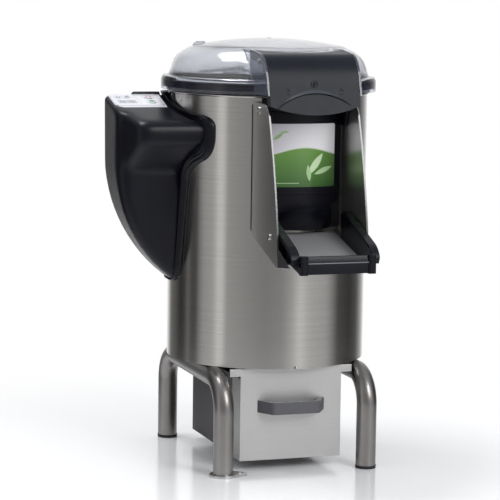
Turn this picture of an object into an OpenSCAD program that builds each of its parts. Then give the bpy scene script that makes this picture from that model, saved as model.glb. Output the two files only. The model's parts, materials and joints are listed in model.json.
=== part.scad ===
// Electric potato peeler: a steel drum on a tube stand, with a clear lid and hood,
// a swinging discharge door and chute, a moulded control box, a belt-driven abrasive
// plate and a filter drawer underneath.
// Every piece is drawn round the drum's axis and then set in the part's own frame.

/* [Drum] */
// Outer radius of the drum
drum_r = 200; // [195:1:206]
// Sheet thickness of the drum
drum_wall = 2; // [1.5:0.5:3]
// Height of the drum's bottom edge above the floor
drum_bottom = 207; // [200:1:220]
// Height of the drum's upper edge above the floor
drum_top = 741; // [739:1:744]
// Radius of the rolled bead at the upper edge
bead_r = 2.4; // [1.5:0.1:3]
// Thickness of the drum's base plate
base_t = 3; // [2:0.5:4]
// Radius of the bolts through the base plate
base_bolt_r = 4; // [3:0.5:5]

/* [Peeling chamber] */
// Height of the underside of the chamber deck
deck_z = 440; // [436:1:444]
// Thickness of the chamber deck
deck_t = 3; // [2:0.5:4]
// Thickness of the abrasive liner
liner_t = 5; // [3:0.5:8]
// Radial gap between the rotating plate and the liner
plate_gap = 5; // [3:0.5:8]
// Height of the plate's underside above the deck
plate_lift = 15; // [12:1:16]
// Thickness of the rotating plate
plate_t = 9; // [7:1:10]
// Number of waves on the plate
wave_count = 3; // [2:1:4]
// Height of a wave above the plate
wave_h = 9; // [5:1:12]
// Radius of the surface of a wave
wave_r = 50; // [35:1:60]
// Outer radius of the waste duct
duct_r = 28; // [22:1:30]
// Distance of the waste duct from the drum's axis
duct_offset = 134; // [130:1:135]

/* [Mouth and cheeks] */
// Width of the mouth in the drum
mouth_w = 124; // [110:1:130]
// Height of the mouth's lower edge above the floor
mouth_bottom = 491; // [489:1:495]
// Height of the mouth's upper edge above the floor
mouth_top = 696; // [680:1:700]
// Corner radius of the mouth
mouth_corner = 18; // [8:1:24]
// Distance from the middle to the inner face of a cheek
cheek_x = 90.5; // [89.5:0.5:91]
// Thickness of a cheek
cheek_t = 2; // [1.5:0.5:2.5]
// Height of the cheeks' upper edge above the floor
cheek_top = 731; // [728:1:734]
// Height of the cheeks' front tip above the floor
cheek_low = 429; // [426:1:432]
// Height of the cheeks' lower edge where it leaves the drum
cheek_root = 478; // [474:1:480]
// How far the cheeks' upper corner stands out from the drum
cheek_reach_top = 74; // [70:1:78]
// How far the cheeks' front tip stands out from the drum
cheek_reach_low = 138; // [134:1:141]
// Width of the fold along the cheeks' front edge
cheek_fold = 3.5; // [2.5:0.5:4]
// Thickness of the gasket round the mouth
gasket_t = 3; // [2:0.5:4]

/* [Door] */
// Thickness of the door
door_t = 4; // [3:0.5:5]
// Distance from the middle to the door's side edge
door_half_w = 84; // [80:1:85]
// Distance from the middle to the side edge of the door's lower part
door_low_half_w = 67; // [65:0.5:68]
// Height of the door's lower edge above the floor
door_bottom = 484; // [481:1:486]
// Height of the door's upper edge above the floor
door_top = 710; // [704:1:712]
// Height of the shoulder between the door's upper and lower part
door_shoulder = 533; // [532:1:545]
// Distance of the door's pivot from the drum
pivot_reach = 15.5; // [14:0.5:18]
// Height of the door's pivot above the floor
pivot_z = 717; // [715:1:719]
// Radius of the pivot pins
pivot_r = 4; // [3:0.5:5]
// Radius of the rounded pull
pull_r = 78; // [74:1:80]
// Wall thickness of the pull
pull_wall = 3.5; // [2.5:0.5:5]
// Width of the label on the door
label_w = 142; // [120:1:150]
// Distance from the door's upper edge to the label
label_gap_top = 20; // [16:1:30]
// Distance from the door's shoulder to the label
label_gap_low = 34; // [28:1:42]

/* [Chute] */
// Distance from the middle to the outer face of the chute's arms
chute_half_w = 75; // [74.5:0.5:77]
// Wall thickness of the chute
chute_wall = 4; // [3:0.5:4.5]
// Distance from the middle to the outer edge of the rails on the arms
rail_half_w = 88; // [84:0.5:88.5]
// Thickness of the rails on the arms
rail_t = 9; // [6:0.5:11]
// Distance of the chute's front from the drum
chute_reach = 221; // [210:1:230]
// Height of the arms' upper edge at the drum
arm_top = 523; // [518:1:525]
// Height of the chute's front bar above the floor
bar_top = 458; // [452:1:462]
// Height of the chute's lower front edge above the floor
bar_bottom = 424; // [420:1:430]
// Width of the posts at the chute's front corners
post_w = 15; // [12:1:20]
// Radius of the screws that hold the chute
chute_screw_r = 3; // [2.5:0.5:4]

/* [Lid] */
// How far the lid's rim stands out from the drum
rim_over = 17; // [14:0.5:20]
// Height of the lid's rim
rim_h = 26; // [22:1:28]
// Thickness of the lid's clear shell
lid_t = 3; // [2.5:0.5:4]
// Height of the lid's crown above the drum's upper edge
lid_h = 107; // [102:1:112]
// Distance from the lid's rim in to the edge of its flat top
shoulder_inset = 66; // [61:1:71]
// Drop from the crown to the edge of the lid's top
crown_drop = 15.5; // [12:0.5:18]
// Outer half width of the raised arch at the front of the lid
arch_half_w = 95.5; // [95:0.5:98]
// Thickness of the arch's side walls
arch_wall = 4; // [3:0.5:4]
// Distance from the middle to the hood's side edge
hood_half_w = 91; // [90:0.5:91]
// Thickness of the hood
hood_t = 4; // [3:0.5:5]
// How far the hood's front stands out from the drum
hood_reach = 83; // [80:1:86]
// How far the grip stands out from the hood
grip_t = 4; // [2:0.5:6]

/* [Lid hinge] */
// Distance of the hinge axis from the lid's rim
hinge_reach = 19; // [17:1:23]
// Height of the hinge axis above the drum's upper edge
hinge_rise = 11; // [9:1:13]
// Radius of the hinge pin
hinge_pin_r = 4; // [3:0.5:5]
// Radius of the hinge's knuckle
knuckle_r = 9; // [8:0.5:10]
// Width of the hinge leaf
leaf_w = 52; // [40:1:60]
// Thickness of the bracket's ears
ear_t = 7; // [5:0.5:8]

/* [Control box] */
// Distance from the drum's axis to the box's outer face
box_out = 328; // [324:1:334]
// How far the box's column reaches back from the drum's axis
box_rear = 66; // [64:1:70]
// How far the box's column reaches forward of the drum's axis
box_col = 57; // [54:1:60]
// Height of the box's rear upper edge above the floor
box_top = 733; // [730:1:734]
// Height above which the box's outer face is upright
box_knee = 607; // [600:1:612]
// Radius of the curve from the outer face down to the drum
box_sweep = 298; // [292:1:302]
// How far the box's front part reaches forward of the drum's axis
box_front = 119; // [116:1:122]
// Wall thickness of the box
box_wall = 4; // [3:0.5:5]
// Corner radius of the box seen from above
box_corner = 20; // [17:1:22]
// Rounding of the box's upper edges
box_edge = 7; // [6:0.5:9]
// Width of the box's flange on the drum
flange_w = 12; // [9:1:13]
// Thickness of the box's gasket on the drum
box_gasket_t = 2.5; // [2:0.5:4]
// Slope of the control panel in degrees
panel_slope = 14; // [12:1:16]
// Distance between the control panel and the drum
panel_gap = 20; // [19:1:28]
// Depth of the control panel
panel_d = 73; // [66:1:74]
// Thickness of the control panel
panel_t = 2; // [1.5:0.5:3]
// Radius of the start and stop buttons
button_r = 8; // [7:0.5:9]
// Radius of the timer buttons
key_r = 5; // [4:0.5:6]
// How far a button stands out of the panel
button_proud = 2; // [1.5:0.5:3]
// Travel of a button
button_travel = 1.5; // [1:0.1:2]

/* [Stand] */
// Outer radius of the stand tubes
tube_r = 20; // [18:0.5:21]
// Wall thickness of the stand tubes
tube_wall = 2; // [1.5:0.5:3]
// Distance from the middle to the axis of a stand tube
stand_half_w = 149.5; // [149:0.5:156]
// Distance from the drum's axis to the axis of the front legs
leg_front = 197; // [190:1:204]
// Distance from the drum's axis to the axis of the rear legs
leg_rear = 189; // [182:1:196]
// Radius of the tubes' bends at their axis
bend_r = 60; // [50:1:70]
// Thickness of the rubber feet
foot_t = 6; // [4:0.5:8]
// Thickness of the steel fixing foot
plate_foot_t = 5; // [4:0.5:6]
// Distance from the leg's axis to the fixing hole
fixing_offset = 38; // [36:1:44]
// Radius of the fixing hole
fixing_hole_r = 4.5; // [3.5:0.5:5.5]
// Width of the stand's cross bars
bar_w = 30; // [24:1:34]

/* [Filter drawer] */
// Distance from the middle to the side of the filter housing
housing_half_w = 103.5; // [100:0.5:105]
// Width of the housing's flanges under the cross bars
housing_flange = 19; // [16:0.5:20]
// Height of the housing's underside above the floor
housing_bottom = 20; // [16:1:30]
// Distance from the drum's axis to the housing's front
housing_front = 162; // [160:1:166]
// Distance from the drum's axis to the housing's back
housing_rear = 158; // [150:1:164]
// Thickness of the drawer's and housing's sheet
sheet_t = 2; // [1.5:0.5:2.5]
// Height of the ears across the drawer front
ear_h = 15; // [12:1:15]
// Distance from the middle to the end of an ear
ear_half_w = 128; // [127:0.5:129]
// Depth of the folds at the drawer front's sides
fold_d = 52; // [40:1:60]
// Height of the filter tray's underside above the floor
tray_bottom = 66; // [60:1:80]
// Height of the filter tray's rim above the floor
tray_top = 160; // [150:1:164]
// Length of the filter tray
tray_l = 270; // [240:1:276]
// Width of the drawer handle at the panel
handle_w = 140; // [130:1:150]
// Width of the handle's bar
handle_bar_w = 104; // [96:1:110]
// How far the handle stands out
handle_reach = 37; // [32:1:42]
// Height of the handle's bar
handle_h = 24; // [20:1:28]
// Thickness of the handle's bar
handle_t = 8; // [6:0.5:10]
// Height of the handle's middle above the floor
handle_z = 129; // [124:1:136]

/* [Drive] */
// Radius of the spindle
spindle_r = 12.5; // [10:0.5:14]
// Radius of the large pulley
big_pulley_r = 80; // [78:1:82]
// Radius of the motor's pulley
small_pulley_r = 26; // [24:1:30]
// Height of a pulley
pulley_h = 22; // [18:1:26]
// Height of the pulleys' underside above the floor
pulley_z = 232; // [226:1:240]
// Thickness of the belt
belt_t = 4; // [3:0.5:5]
// Distance between the spindle and the motor shaft
shaft_distance = 120; // [118:1:122]
// Radius of the motor's body
motor_r = 58; // [54:1:60]
// Height of the motor's body
motor_h = 150; // [140:1:152]
// Radius of the motor's shaft
motor_shaft_r = 9.5; // [8:0.5:11]
// Outer radius of the bearings
bearing_r = 26; // [24:1:28]
// Height of a bearing
bearing_h = 15; // [12:1:18]
// Outer radius of the bearing housing
hub_r = 36; // [34:1:38]
// Length of the bearing housing under the deck
hub_l = 100; // [90:1:110]

/* [Connections] */
// Radius of the water inlet's thread
inlet_r = 13.2; // [10:0.1:14]
// Length of the water inlet's thread
inlet_l = 22; // [16:1:26]
// How far the water inlet stands out from the drum
inlet_reach = 52; // [50:1:60]
// Height of the water inlet above the floor
inlet_z = 630; // [610:1:650]
// Outer radius of the drain pipe
drain_r = 25; // [20:1:26]
// How far the drain pipe stands out from the housing
drain_l = 50; // [40:1:60]
// Radius of the cable hole in the gland
gland_hole_r = 4.5; // [3.5:0.5:5.5]

/* [Hidden] */
$fn = 96;

// Colours
STEEL = [0.68, 0.67, 0.65];
DARK_STEEL = [0.45, 0.45, 0.46];
BLACK = [0.11, 0.11, 0.13];
SLATE = [0.19, 0.21, 0.25];
GREY = [0.42, 0.42, 0.43];
CLEAR = [0.80, 0.83, 0.87, 0.45];
RUBBER = [0.07, 0.07, 0.07];
GRIT = [0.35, 0.33, 0.31];
MOTOR_BLUE = [0.30, 0.35, 0.42];

// Clearances
seat = 0.3;       // between pieces that meet on curved or sliding faces
run = 0.05;       // radial, between a shaft and the bore it turns in
hole_gap = 0.3;   // radial, between a screw and its hole
side_gap = 2;     // between the door and the cheeks

rim_r = drum_r + rim_over;

// The frame's origin is the middle of the whole part's footprint, on the floor
axis_x = (box_out - rim_r) / 2;
axis_y = (drum_r + chute_reach - drum_r - inlet_reach) / 2;

// Drum and chamber
bore_r = drum_r - drum_wall;
liner_r = bore_r - seat;
liner_bore = liner_r - liner_t;
plate_r = liner_bore - plate_gap;
plate_z = deck_z + deck_t + plate_lift;
plate_top = plate_z + plate_t;
liner_bottom = plate_top + 2;
base_top = drum_bottom + base_t;
cable_hole_r = 12;
cable_hole_z = 600;

// Stand
run_z = drum_bottom - tube_r - 0.2;
bar_top_z = drum_bottom - 0.2;
bar_bottom_z = bar_top_z - 9.8;
bar_half_l = stand_half_w - sqrt(tube_r * tube_r - pow(bar_bottom_z - run_z, 2));
bar_y = [-75, 110];
nut_gap = 3.5;
base_bolt_x = housing_half_w - sheet_t - 2 * base_bolt_r - nut_gap;
hanger_x = housing_half_w + housing_flange / 2;
duct_hole_r = duct_r + 2;

// Mouth, cheeks and door
cheek_tip_y = -(drum_r + cheek_reach_low);
cheek_corner_y = -(drum_r + cheek_reach_top);
cheek_corner_drop = 21;
gasket_r = drum_r + seat;
door_r = gasket_r + gasket_t + 0.4;
pivot_y = -(drum_r + pivot_reach);
pull_z = door_bottom + 53;
pull_y = -(door_r + door_t - 40);
pull_tilt = 25;
pull_rim_z = door_bottom + 44;
ear_x = door_half_w + 0.5;
label_bottom = door_shoulder + label_gap_low;
label_h = door_top - label_gap_top - label_bottom;
door_ear_t = cheek_x - side_gap - ear_x;

// Chute: its underside follows the tray, then runs flatter to the front
chute_front_y = -(drum_r + chute_reach);
chute_rear_y = -(drum_r + 40);
tray_slope = (cheek_root - cheek_low) / (cheek_reach_low + 20);
tray_t = 2;
chute_knee_y = -(drum_r + 142);
function tray_z(y) = cheek_low + tray_slope * (y - cheek_tip_y);
floor_t = 1.5;
ledge_t = 3;
chute_screw_y = -(drum_r + 89);
chute_screw_z = tray_z(chute_screw_y) + 37;

// Lid
rim_bottom = drum_top + 4;
rim_top = rim_bottom + rim_h;
crown_z = drum_top + lid_h;
shoulder_r = rim_r - shoulder_inset;
edge_z = crown_z - crown_drop;
dome_foot_r = rim_r - 16;
dome_foot_z = rim_top + 6;
arch_rear_y = -110;
hood_rear_y = -(drum_r - 35);
hood_rear_z = edge_z - 0.5;
hood_front_y = -(drum_r + hood_reach);
hood_low_z = drum_top - 29.5;
hood_edge_r = 254;
hood_notch = 43;
grip_r = 121.5;
grip_top_z = hood_low_z + 39.5;
hood_screw_y = -(drum_r + 19);
hood_screw_z = crown_z - 37;
hood_screw_r = 2.5;
hood_rib_w = 4;
hinge_y = rim_r + hinge_reach;
hinge_z = drum_top + hinge_rise;
ear_x0 = leaf_w / 2 + 1;

// Control box
panel_y = -11;
panel_z = box_top - (box_rear - panel_y) * tan(panel_slope);
panel_w = box_out - drum_r - panel_gap - 10;
panel_x = -(box_out - 10 - panel_w / 2);
sweep_x = box_out - 1 - box_sweep;
box_foot_z = box_knee - sqrt(pow(box_sweep, 2) - pow(drum_r - sweep_x, 2)) + flange_w;
panel_sink = 0.8;
button_pocket = 8.5 + button_travel;
start_at = [0.286 * panel_w, 20];
stop_at = [0.286 * panel_w, 50];
more_at = [-0.163 * panel_w, 52];
less_at = [-0.347 * panel_w, 52];
display_at = [-0.225 * panel_w, 24];
display_size = [0.388 * panel_w, 20];

// Filter housing and drawer
housing_top = bar_bottom_z;
front_y = -(housing_front + 4);
front_half_w = housing_half_w + seat + sheet_t;
front_top = drum_bottom - 2;
tray_half_w = housing_half_w - 6.5;
rail_z = tray_top - 4.5;
slot_w = 3;
slot_l = 34;
slot_pitch = 14;

// Drive
groove_h = pulley_h - 8;
groove_d = 4;
motor_top = deck_z - 22;
motor_bottom = motor_top - motor_h;
motor_at = [0, shaft_distance];
gland_z = 575;
gland_y = box_rear - box_taper(gland_z);

// ---------------------------------------------------------------- helpers

// Sets a piece drawn round the drum's axis in the part's frame
module at_axis() { translate([axis_x, axis_y, 0]) children(); }

// Extrudes an outline given as (y, z) along X, starting at x
module side_plate(x, t) {
  translate([x, 0, 0]) rotate([90, 0, 90]) linear_extrude(t) children();
}

// Extrudes an outline given as (x, z) along Y, starting at y
module front_plate(y, t) {
  translate([0, y + t, 0]) rotate([90, 0, 0]) linear_extrude(t) children();
}

// A piece and its mirror image on the other side
module both_sides() {
  children();
  mirror([1, 0, 0]) children();
}

// A smooth curve from a to c that is drawn towards b
function curve(a, b, c, n = 8) =
  [for (i = [0:n]) let (t = i / n) pow(1 - t, 2) * a + 2 * t * (1 - t) * b + t * t * c];

// An arc round the centre from angle a to angle b
function arc(centre, r, a, b, n = 10) =
  [for (i = [0:n]) let (t = a + (b - a) * i / n) centre + r * [cos(t), sin(t)]];

module ring(r_out, r_in, h) {
  difference() {
    cylinder(r = r_out, h = h);
    translate([0, 0, -1]) cylinder(r = r_in, h = h + 2);
  }
}

// A rectangle with round corners, with its lower left corner at (x, y)
module round_rect(x, y, w, h, r) {
  translate([x + r, y]) square([w - 2 * r, h]);
  translate([x, y + r]) square([w, h - 2 * r]);
  for (i = [0, 1], j = [0, 1])
    translate([x + r + i * (w - 2 * r), y + r + j * (h - 2 * r)]) circle(r);
}

// The outline of a band stretched round two circles that are d apart along X
module band(r1, r2, d) {
  a = acos((r1 - r2) / d);
  circle(r1);
  translate([d, 0]) circle(r2);
  polygon([r1 * [cos(a), sin(a)], r1 * [cos(a), -sin(a)],
           [d, 0] + r2 * [cos(a), -sin(a)], [d, 0] + r2 * [cos(a), sin(a)]]);
}

// A pan-head screw along +X with its head's underside at the origin
module screw_x(r, l) {
  rotate([0, 90, 0]) {
    translate([0, 0, -l]) cylinder(r = r, h = l);
    cylinder(r = 2 * r, h = 0.6 * r);
    translate([0, 0, 0.6 * r]) cylinder(r1 = 2 * r, r2 = 1.3 * r, h = 0.4 * r);
  }
}

// ---------------------------------------------------------------- stand

// The solid that an inverted U of the given radius fills
module stand_path(r, front_foot, rear_foot) {
  top = run_z - bend_r;
  translate([0, -leg_front, front_foot]) cylinder(r = r, h = top - front_foot);
  translate([0, leg_rear, rear_foot]) cylinder(r = r, h = top - rear_foot);
  translate([0, bend_r - leg_front, top])
    rotate([90, 0, -90]) rotate_extrude(angle = 90) translate([bend_r, 0]) circle(r);
  translate([0, leg_rear - bend_r, top])
    rotate([90, 0, 90]) rotate_extrude(angle = 90) translate([bend_r, 0]) circle(r);
  translate([0, bend_r - leg_front, run_z])
    rotate([-90, 0, 0]) cylinder(r = r, h = leg_front + leg_rear - 2 * bend_r);
}

module stand_tube(front_foot, rear_foot) {
  color(STEEL) difference() {
    stand_path(tube_r, front_foot, rear_foot);
    stand_path(tube_r - tube_wall, front_foot - 1, rear_foot - 1);
  }
}

module left_stand_tube() {
  at_axis() translate([-stand_half_w, 0, 0]) stand_tube(plate_foot_t, foot_t);
}

module right_stand_tube() {
  at_axis() translate([stand_half_w, 0, 0]) stand_tube(foot_t, foot_t);
}

module cross_bars() {
  color(STEEL) at_axis() for (y = bar_y) difference() {
    translate([-bar_half_l, y - bar_w / 2, bar_bottom_z])
      cube([2 * bar_half_l, bar_w, bar_top_z - bar_bottom_z]);
    for (x = [-base_bolt_x, base_bolt_x]) translate([x, y, bar_bottom_z - 1])
      cylinder(r = base_bolt_r + hole_gap, h = 20);
    for (x = [-hanger_x, hanger_x]) translate([x, y, bar_bottom_z - 1])
      cylinder(r = base_bolt_r - 1 + hole_gap, h = 8);
  }
}

module rubber_feet() {
  spigot_r = tube_r - tube_wall - 0.2;
  spots = [[-stand_half_w, leg_rear], [stand_half_w, -leg_front], [stand_half_w, leg_rear]];
  color(RUBBER) at_axis() for (p = spots) translate(p) {
    cylinder(r1 = tube_r + 0.2, r2 = tube_r + 1, h = foot_t);
    translate([0, 0, foot_t]) cylinder(r = spigot_r, h = 14);
  }
}

module fixing_foot() {
  color(STEEL) at_axis() translate([-stand_half_w, -leg_front, 0]) {
    difference() {
      linear_extrude(plate_foot_t) {
        band(tube_r + 7, 11, fixing_offset);
        mirror([1, 0]) band(tube_r + 6, 8, 20);
      }
      translate([fixing_offset, 0, -1]) cylinder(r = fixing_hole_r, h = plate_foot_t + 2);
    }
    translate([0, 0, plate_foot_t]) cylinder(r = tube_r - tube_wall - 0.2, h = 12);
  }
}

// ---------------------------------------------------------------- drum and chamber

module mouth_outline(grow) {
  round_rect(-mouth_w / 2 - grow, mouth_bottom - grow, mouth_w + 2 * grow,
             mouth_top - mouth_bottom + 2 * grow, mouth_corner + grow);
}

module mouth_cut(grow) {
  front_plate(-drum_r - 20, 80) mouth_outline(grow);
}

module drum_shell() {
  color(STEEL) at_axis() difference() {
    union() {
      translate([0, 0, drum_bottom]) cylinder(r = drum_r, h = drum_top - drum_bottom);
      translate([0, 0, drum_top]) rotate_extrude()
        translate([drum_r - drum_wall + bead_r, 0]) circle(bead_r, $fn = 24);
    }
    translate([0, 0, drum_bottom - 1]) cylinder(r = bore_r, h = drum_top - drum_bottom + 10);
    mouth_cut(0);
    translate([-drum_r - 10, 0, cable_hole_z]) rotate([0, 90, 0])
      cylinder(r = cable_hole_r, h = 30);
    translate([0, drum_r - 20, inlet_z]) rotate([-90, 0, 0])
      cylinder(r = inlet_r - 2 + hole_gap, h = 40);
  }
}

module drum_base() {
  vent_r = 6;
  color(STEEL) at_axis() difference() {
    translate([0, 0, drum_bottom]) cylinder(r = bore_r - 0.2, h = base_t);
    translate([0, -duct_offset, drum_bottom - 1]) cylinder(r = duct_hole_r, h = base_t + 2);
    for (x = [-base_bolt_x, base_bolt_x], y = bar_y) translate([x, y, drum_bottom - 1])
      cylinder(r = base_bolt_r + hole_gap, h = base_t + 2);
    for (i = [-2:2]) translate([i * 22, 155, drum_bottom - 1])
      cylinder(r = vent_r, h = base_t + 2);
  }
}

module base_bolts() {
  head_h = 5;
  color(DARK_STEEL) at_axis() for (x = [-base_bolt_x, base_bolt_x], y = bar_y)
    translate([x, y, 0]) {
      translate([0, 0, bar_bottom_z - 5.5])
        cylinder(r = base_bolt_r, h = base_top - bar_bottom_z + 6);
      translate([0, 0, base_top]) cylinder(r = 2 * base_bolt_r, h = head_h, $fn = 6);
      translate([0, 0, bar_bottom_z - 5]) cylinder(r = 2 * base_bolt_r, h = 5, $fn = 6);
    }
}

module chamber_deck() {
  rim_rise = 9;
  color(STEEL) at_axis() translate([0, 0, deck_z]) difference() {
    union() {
      cylinder(r = liner_r, h = deck_t);
      ring(liner_r, liner_r - 2, deck_t + rim_rise);
    }
    translate([0, 0, -1]) cylinder(r = hub_r - 5, h = deck_t + 2);
    translate([0, -duct_offset, -1]) cylinder(r = duct_r - 2, h = deck_t + 2);
  }
}

module waste_duct() {
  color(STEEL) at_axis() translate([0, -duct_offset, drum_bottom - 1])
    ring(duct_r, duct_r - 2, deck_z - drum_bottom + 1);
}

module abrasive_liner() {
  color(GRIT) at_axis() difference() {
    translate([0, 0, liner_bottom]) ring(liner_r, liner_bore, drum_top - 8 - liner_bottom);
    mouth_cut(2);
    translate([0, drum_r - 40, inlet_z]) rotate([-90, 0, 0]) cylinder(r = inlet_r, h = 60);
  }
}

module abrasive_plate() {
  hub_top_r = 34;
  color(GRIT) at_axis() translate([0, 0, plate_z]) {
    difference() {
      union() {
        cylinder(r = plate_r, h = plate_t);
        for (i = [0:wave_count - 1]) rotate([0, 0, 360 * i / wave_count]) intersection() {
          translate([0, 0, plate_t + wave_h - wave_r]) rotate([0, 90, 0])
            cylinder(r = wave_r, h = plate_r);
          cylinder(r = plate_r - 4, h = plate_t + wave_h + 1);
        }
        cylinder(r1 = hub_top_r + 8, r2 = hub_top_r, h = plate_t + wave_h);
      }
      translate([0, 0, -1]) cylinder(r = spindle_r + run, h = plate_t + 5);
      for (i = [0:5]) rotate([0, 0, 60 * i + 30]) translate([plate_r - 20, 0, -1])
        cylinder(r = 5, h = plate_t + 2 * wave_h);
    }
    for (a = [0, 180]) rotate([0, 0, a]) translate([hub_r + 10, -2, -4])
      cube([plate_r - hub_r - 24, 4, 4]);
  }
}

// ---------------------------------------------------------------- mouth, door and chute

// The front edge of a cheek, from its upper corner to its tip, as (y, z)
function cheek_edge() = curve(
  [cheek_corner_y, cheek_top - cheek_corner_drop],
  [cheek_corner_y - 51, (cheek_top + cheek_low) / 2 - 10],
  [cheek_tip_y, cheek_low], 12);

module cheek(x) {
  inside = 170;
  color(STEEL) at_axis() difference() {
    union() {
      side_plate(x, cheek_t) polygon(concat(
        [[-inside, cheek_root], [-inside, cheek_top], [cheek_corner_y + 34, cheek_top]],
        curve([cheek_corner_y + 30, cheek_top], [cheek_corner_y + 8, cheek_top - 3],
              [cheek_corner_y, cheek_top - cheek_corner_drop], 6),
        cheek_edge(), [[cheek_tip_y + 8, cheek_low - 1]]));
      side_plate(x < 0 ? x : x + cheek_t - cheek_fold, cheek_fold) polygon(concat(
        cheek_edge(), [for (i = [12:-1:0]) cheek_edge()[i] + [cheek_t, 0]]));
    }
    translate([0, 0, cheek_low - 30]) cylinder(r = drum_r + 0.1, h = cheek_top);
    translate([x - 10, pivot_y, pivot_z]) rotate([0, 90, 0])
      cylinder(r = pivot_r + 0.1, h = 20);
    translate([x - 10, chute_screw_y, chute_screw_z]) rotate([0, 90, 0])
      cylinder(r = chute_screw_r + hole_gap, h = 20);
  }
}

module left_cheek() { cheek(-cheek_x - cheek_t); }

module right_cheek() { cheek(cheek_x); }

module mouth_tray() {
  inside = 150;
  half = cheek_x - 0.2;
  edge = 9;
  color(STEEL) at_axis() difference() {
    union() {
      side_plate(-half, 2 * half) polygon([
        [-inside, tray_z(-inside)], [cheek_tip_y + 6, tray_z(cheek_tip_y + 6)],
        [cheek_tip_y + 6, tray_z(cheek_tip_y + 6) + tray_t],
        [-inside, tray_z(-inside) + tray_t]]);
      both_sides() side_plate(half - tray_t, tray_t) polygon([
        [-inside, tray_z(-inside)], [cheek_tip_y + 6, tray_z(cheek_tip_y + 6)],
        [cheek_tip_y + 6, tray_z(cheek_tip_y + 6) + edge],
        [-inside, tray_z(-inside) + edge]]);
    }
    translate([0, 0, cheek_low - 30]) cylinder(r = drum_r + 0.1, h = 200);
  }
}

module mouth_gasket() {
  color(RUBBER) at_axis() intersection() {
    front_plate(-drum_r - door_t, drum_r / 2) difference() {
      round_rect(-cheek_x + 2, door_bottom + 1, 2 * (cheek_x - 2),
                 door_top + 2 - door_bottom, 6);
      mouth_outline(0.5);
    }
    translate([0, 0, door_bottom - door_t])
      ring(gasket_r + gasket_t, gasket_r, door_top - door_bottom + 3 * door_t);
  }
}

module door_outline() {
  step = [door_half_w - door_low_half_w, 22];
  polygon(concat(
    [[-door_half_w, door_top], [door_half_w, door_top]],
    curve([door_half_w, door_shoulder + step.y], [door_half_w, door_shoulder],
          [door_low_half_w, door_shoulder], 6),
    arc([door_low_half_w - 12, door_bottom + 12], 12, 0, -90, 6),
    arc([12 - door_low_half_w, door_bottom + 12], 12, -90, -180, 6),
    curve([-door_low_half_w, door_shoulder], [-door_half_w, door_shoulder],
          [-door_half_w, door_shoulder + step.y], 6)));
}

// A rounded pocket on the door's lower part, open at its upper, tilted rim
module door_pull() {
  intersection() {
    difference() {
      translate([0, pull_y, pull_z]) sphere(pull_r);
      translate([0, pull_y, pull_z]) sphere(pull_r - pull_wall);
      translate([-100, -(door_r + door_t + 36), pull_rim_z]) rotate([-pull_tilt, 0, 0])
        translate([0, -100, 0]) cube([200, 300, 200]);
      translate([0, 0, door_bottom - 60]) cylinder(r = door_r + 1, h = 300);
    }
    translate([1 - door_low_half_w, -300, door_bottom])
      cube([2 * door_low_half_w - 2, 300, 60]);
  }
}

module door_panel() {
  rib = 3;
  ear_reach = 26;
  color(BLACK) at_axis() difference() {
    union() {
      intersection() {
        front_plate(-drum_r - 40, 140) door_outline();
        translate([0, 0, door_bottom - 20]) ring(door_r + door_t, door_r, 300);
      }
      intersection() {
        translate([0, 0, door_shoulder + 20])
          ring(door_r + door_t + rib, door_r + 1, 3);
        translate([-door_half_w, -250, door_shoulder]) cube([2 * door_half_w, 120, 40]);
      }
      door_pull();
      both_sides() side_plate(ear_x - 1, door_ear_t + 1) {
        translate([pivot_y, pivot_z]) circle(9);
        polygon([[pivot_y - 9, pivot_z], [pivot_y + ear_reach, pivot_z + 2],
                 [pivot_y + ear_reach, pivot_z - 30], [pivot_y - 2, pivot_z - 30]]);
      }
    }
    both_sides() translate([ear_x - 5, pivot_y, pivot_z]) rotate([0, 90, 0])
      cylinder(r = pivot_r + run, h = 30);
  }
}

module door_label() {
  color([0.55, 0.68, 0.45]) at_axis() intersection() {
    front_plate(-drum_r - 40, 100)
      round_rect(-label_w / 2, label_bottom, label_w, label_h, 4);
    translate([0, 0, label_bottom - 10])
      ring(door_r + door_t + 0.9, door_r + door_t + 0.1, label_h + 20);
  }
}

module door_pivots() {
  color(STEEL) at_axis() both_sides() translate([cheek_x + cheek_t, pivot_y, pivot_z])
    screw_x(pivot_r, cheek_t + side_gap + door_ear_t);
}

// The arm's upper edge, falling from the drum to the front bar, as (y, z)
function arm_edge() = concat(
  [[chute_rear_y, arm_top - 4], [chute_rear_y - 8, arm_top - 1]],
  curve([chute_front_y + 50, arm_top - 45], [chute_front_y + 24, arm_top - 53],
        [chute_front_y + 17, bar_top - 6], 6));

// The chute's underside as (y, z), from the drum to the front
function chute_under() = [
  [chute_rear_y, tray_z(chute_rear_y) + tray_t + 3.5],
  [chute_knee_y, bar_bottom + 16], [chute_front_y + 4, bar_bottom]];

// The line on which the chute's floor lies, from the drum to the front
function floor_line(rise) = [for (p = [
  [-(drum_r + 4), tray_z(-(drum_r + 4)) + tray_t + 3], chute_under()[0] + [0, ledge_t],
  chute_under()[1] + [0, ledge_t], [chute_front_y + 16, bar_bottom + 3 + ledge_t]])
  p + [0, rise]];

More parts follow.
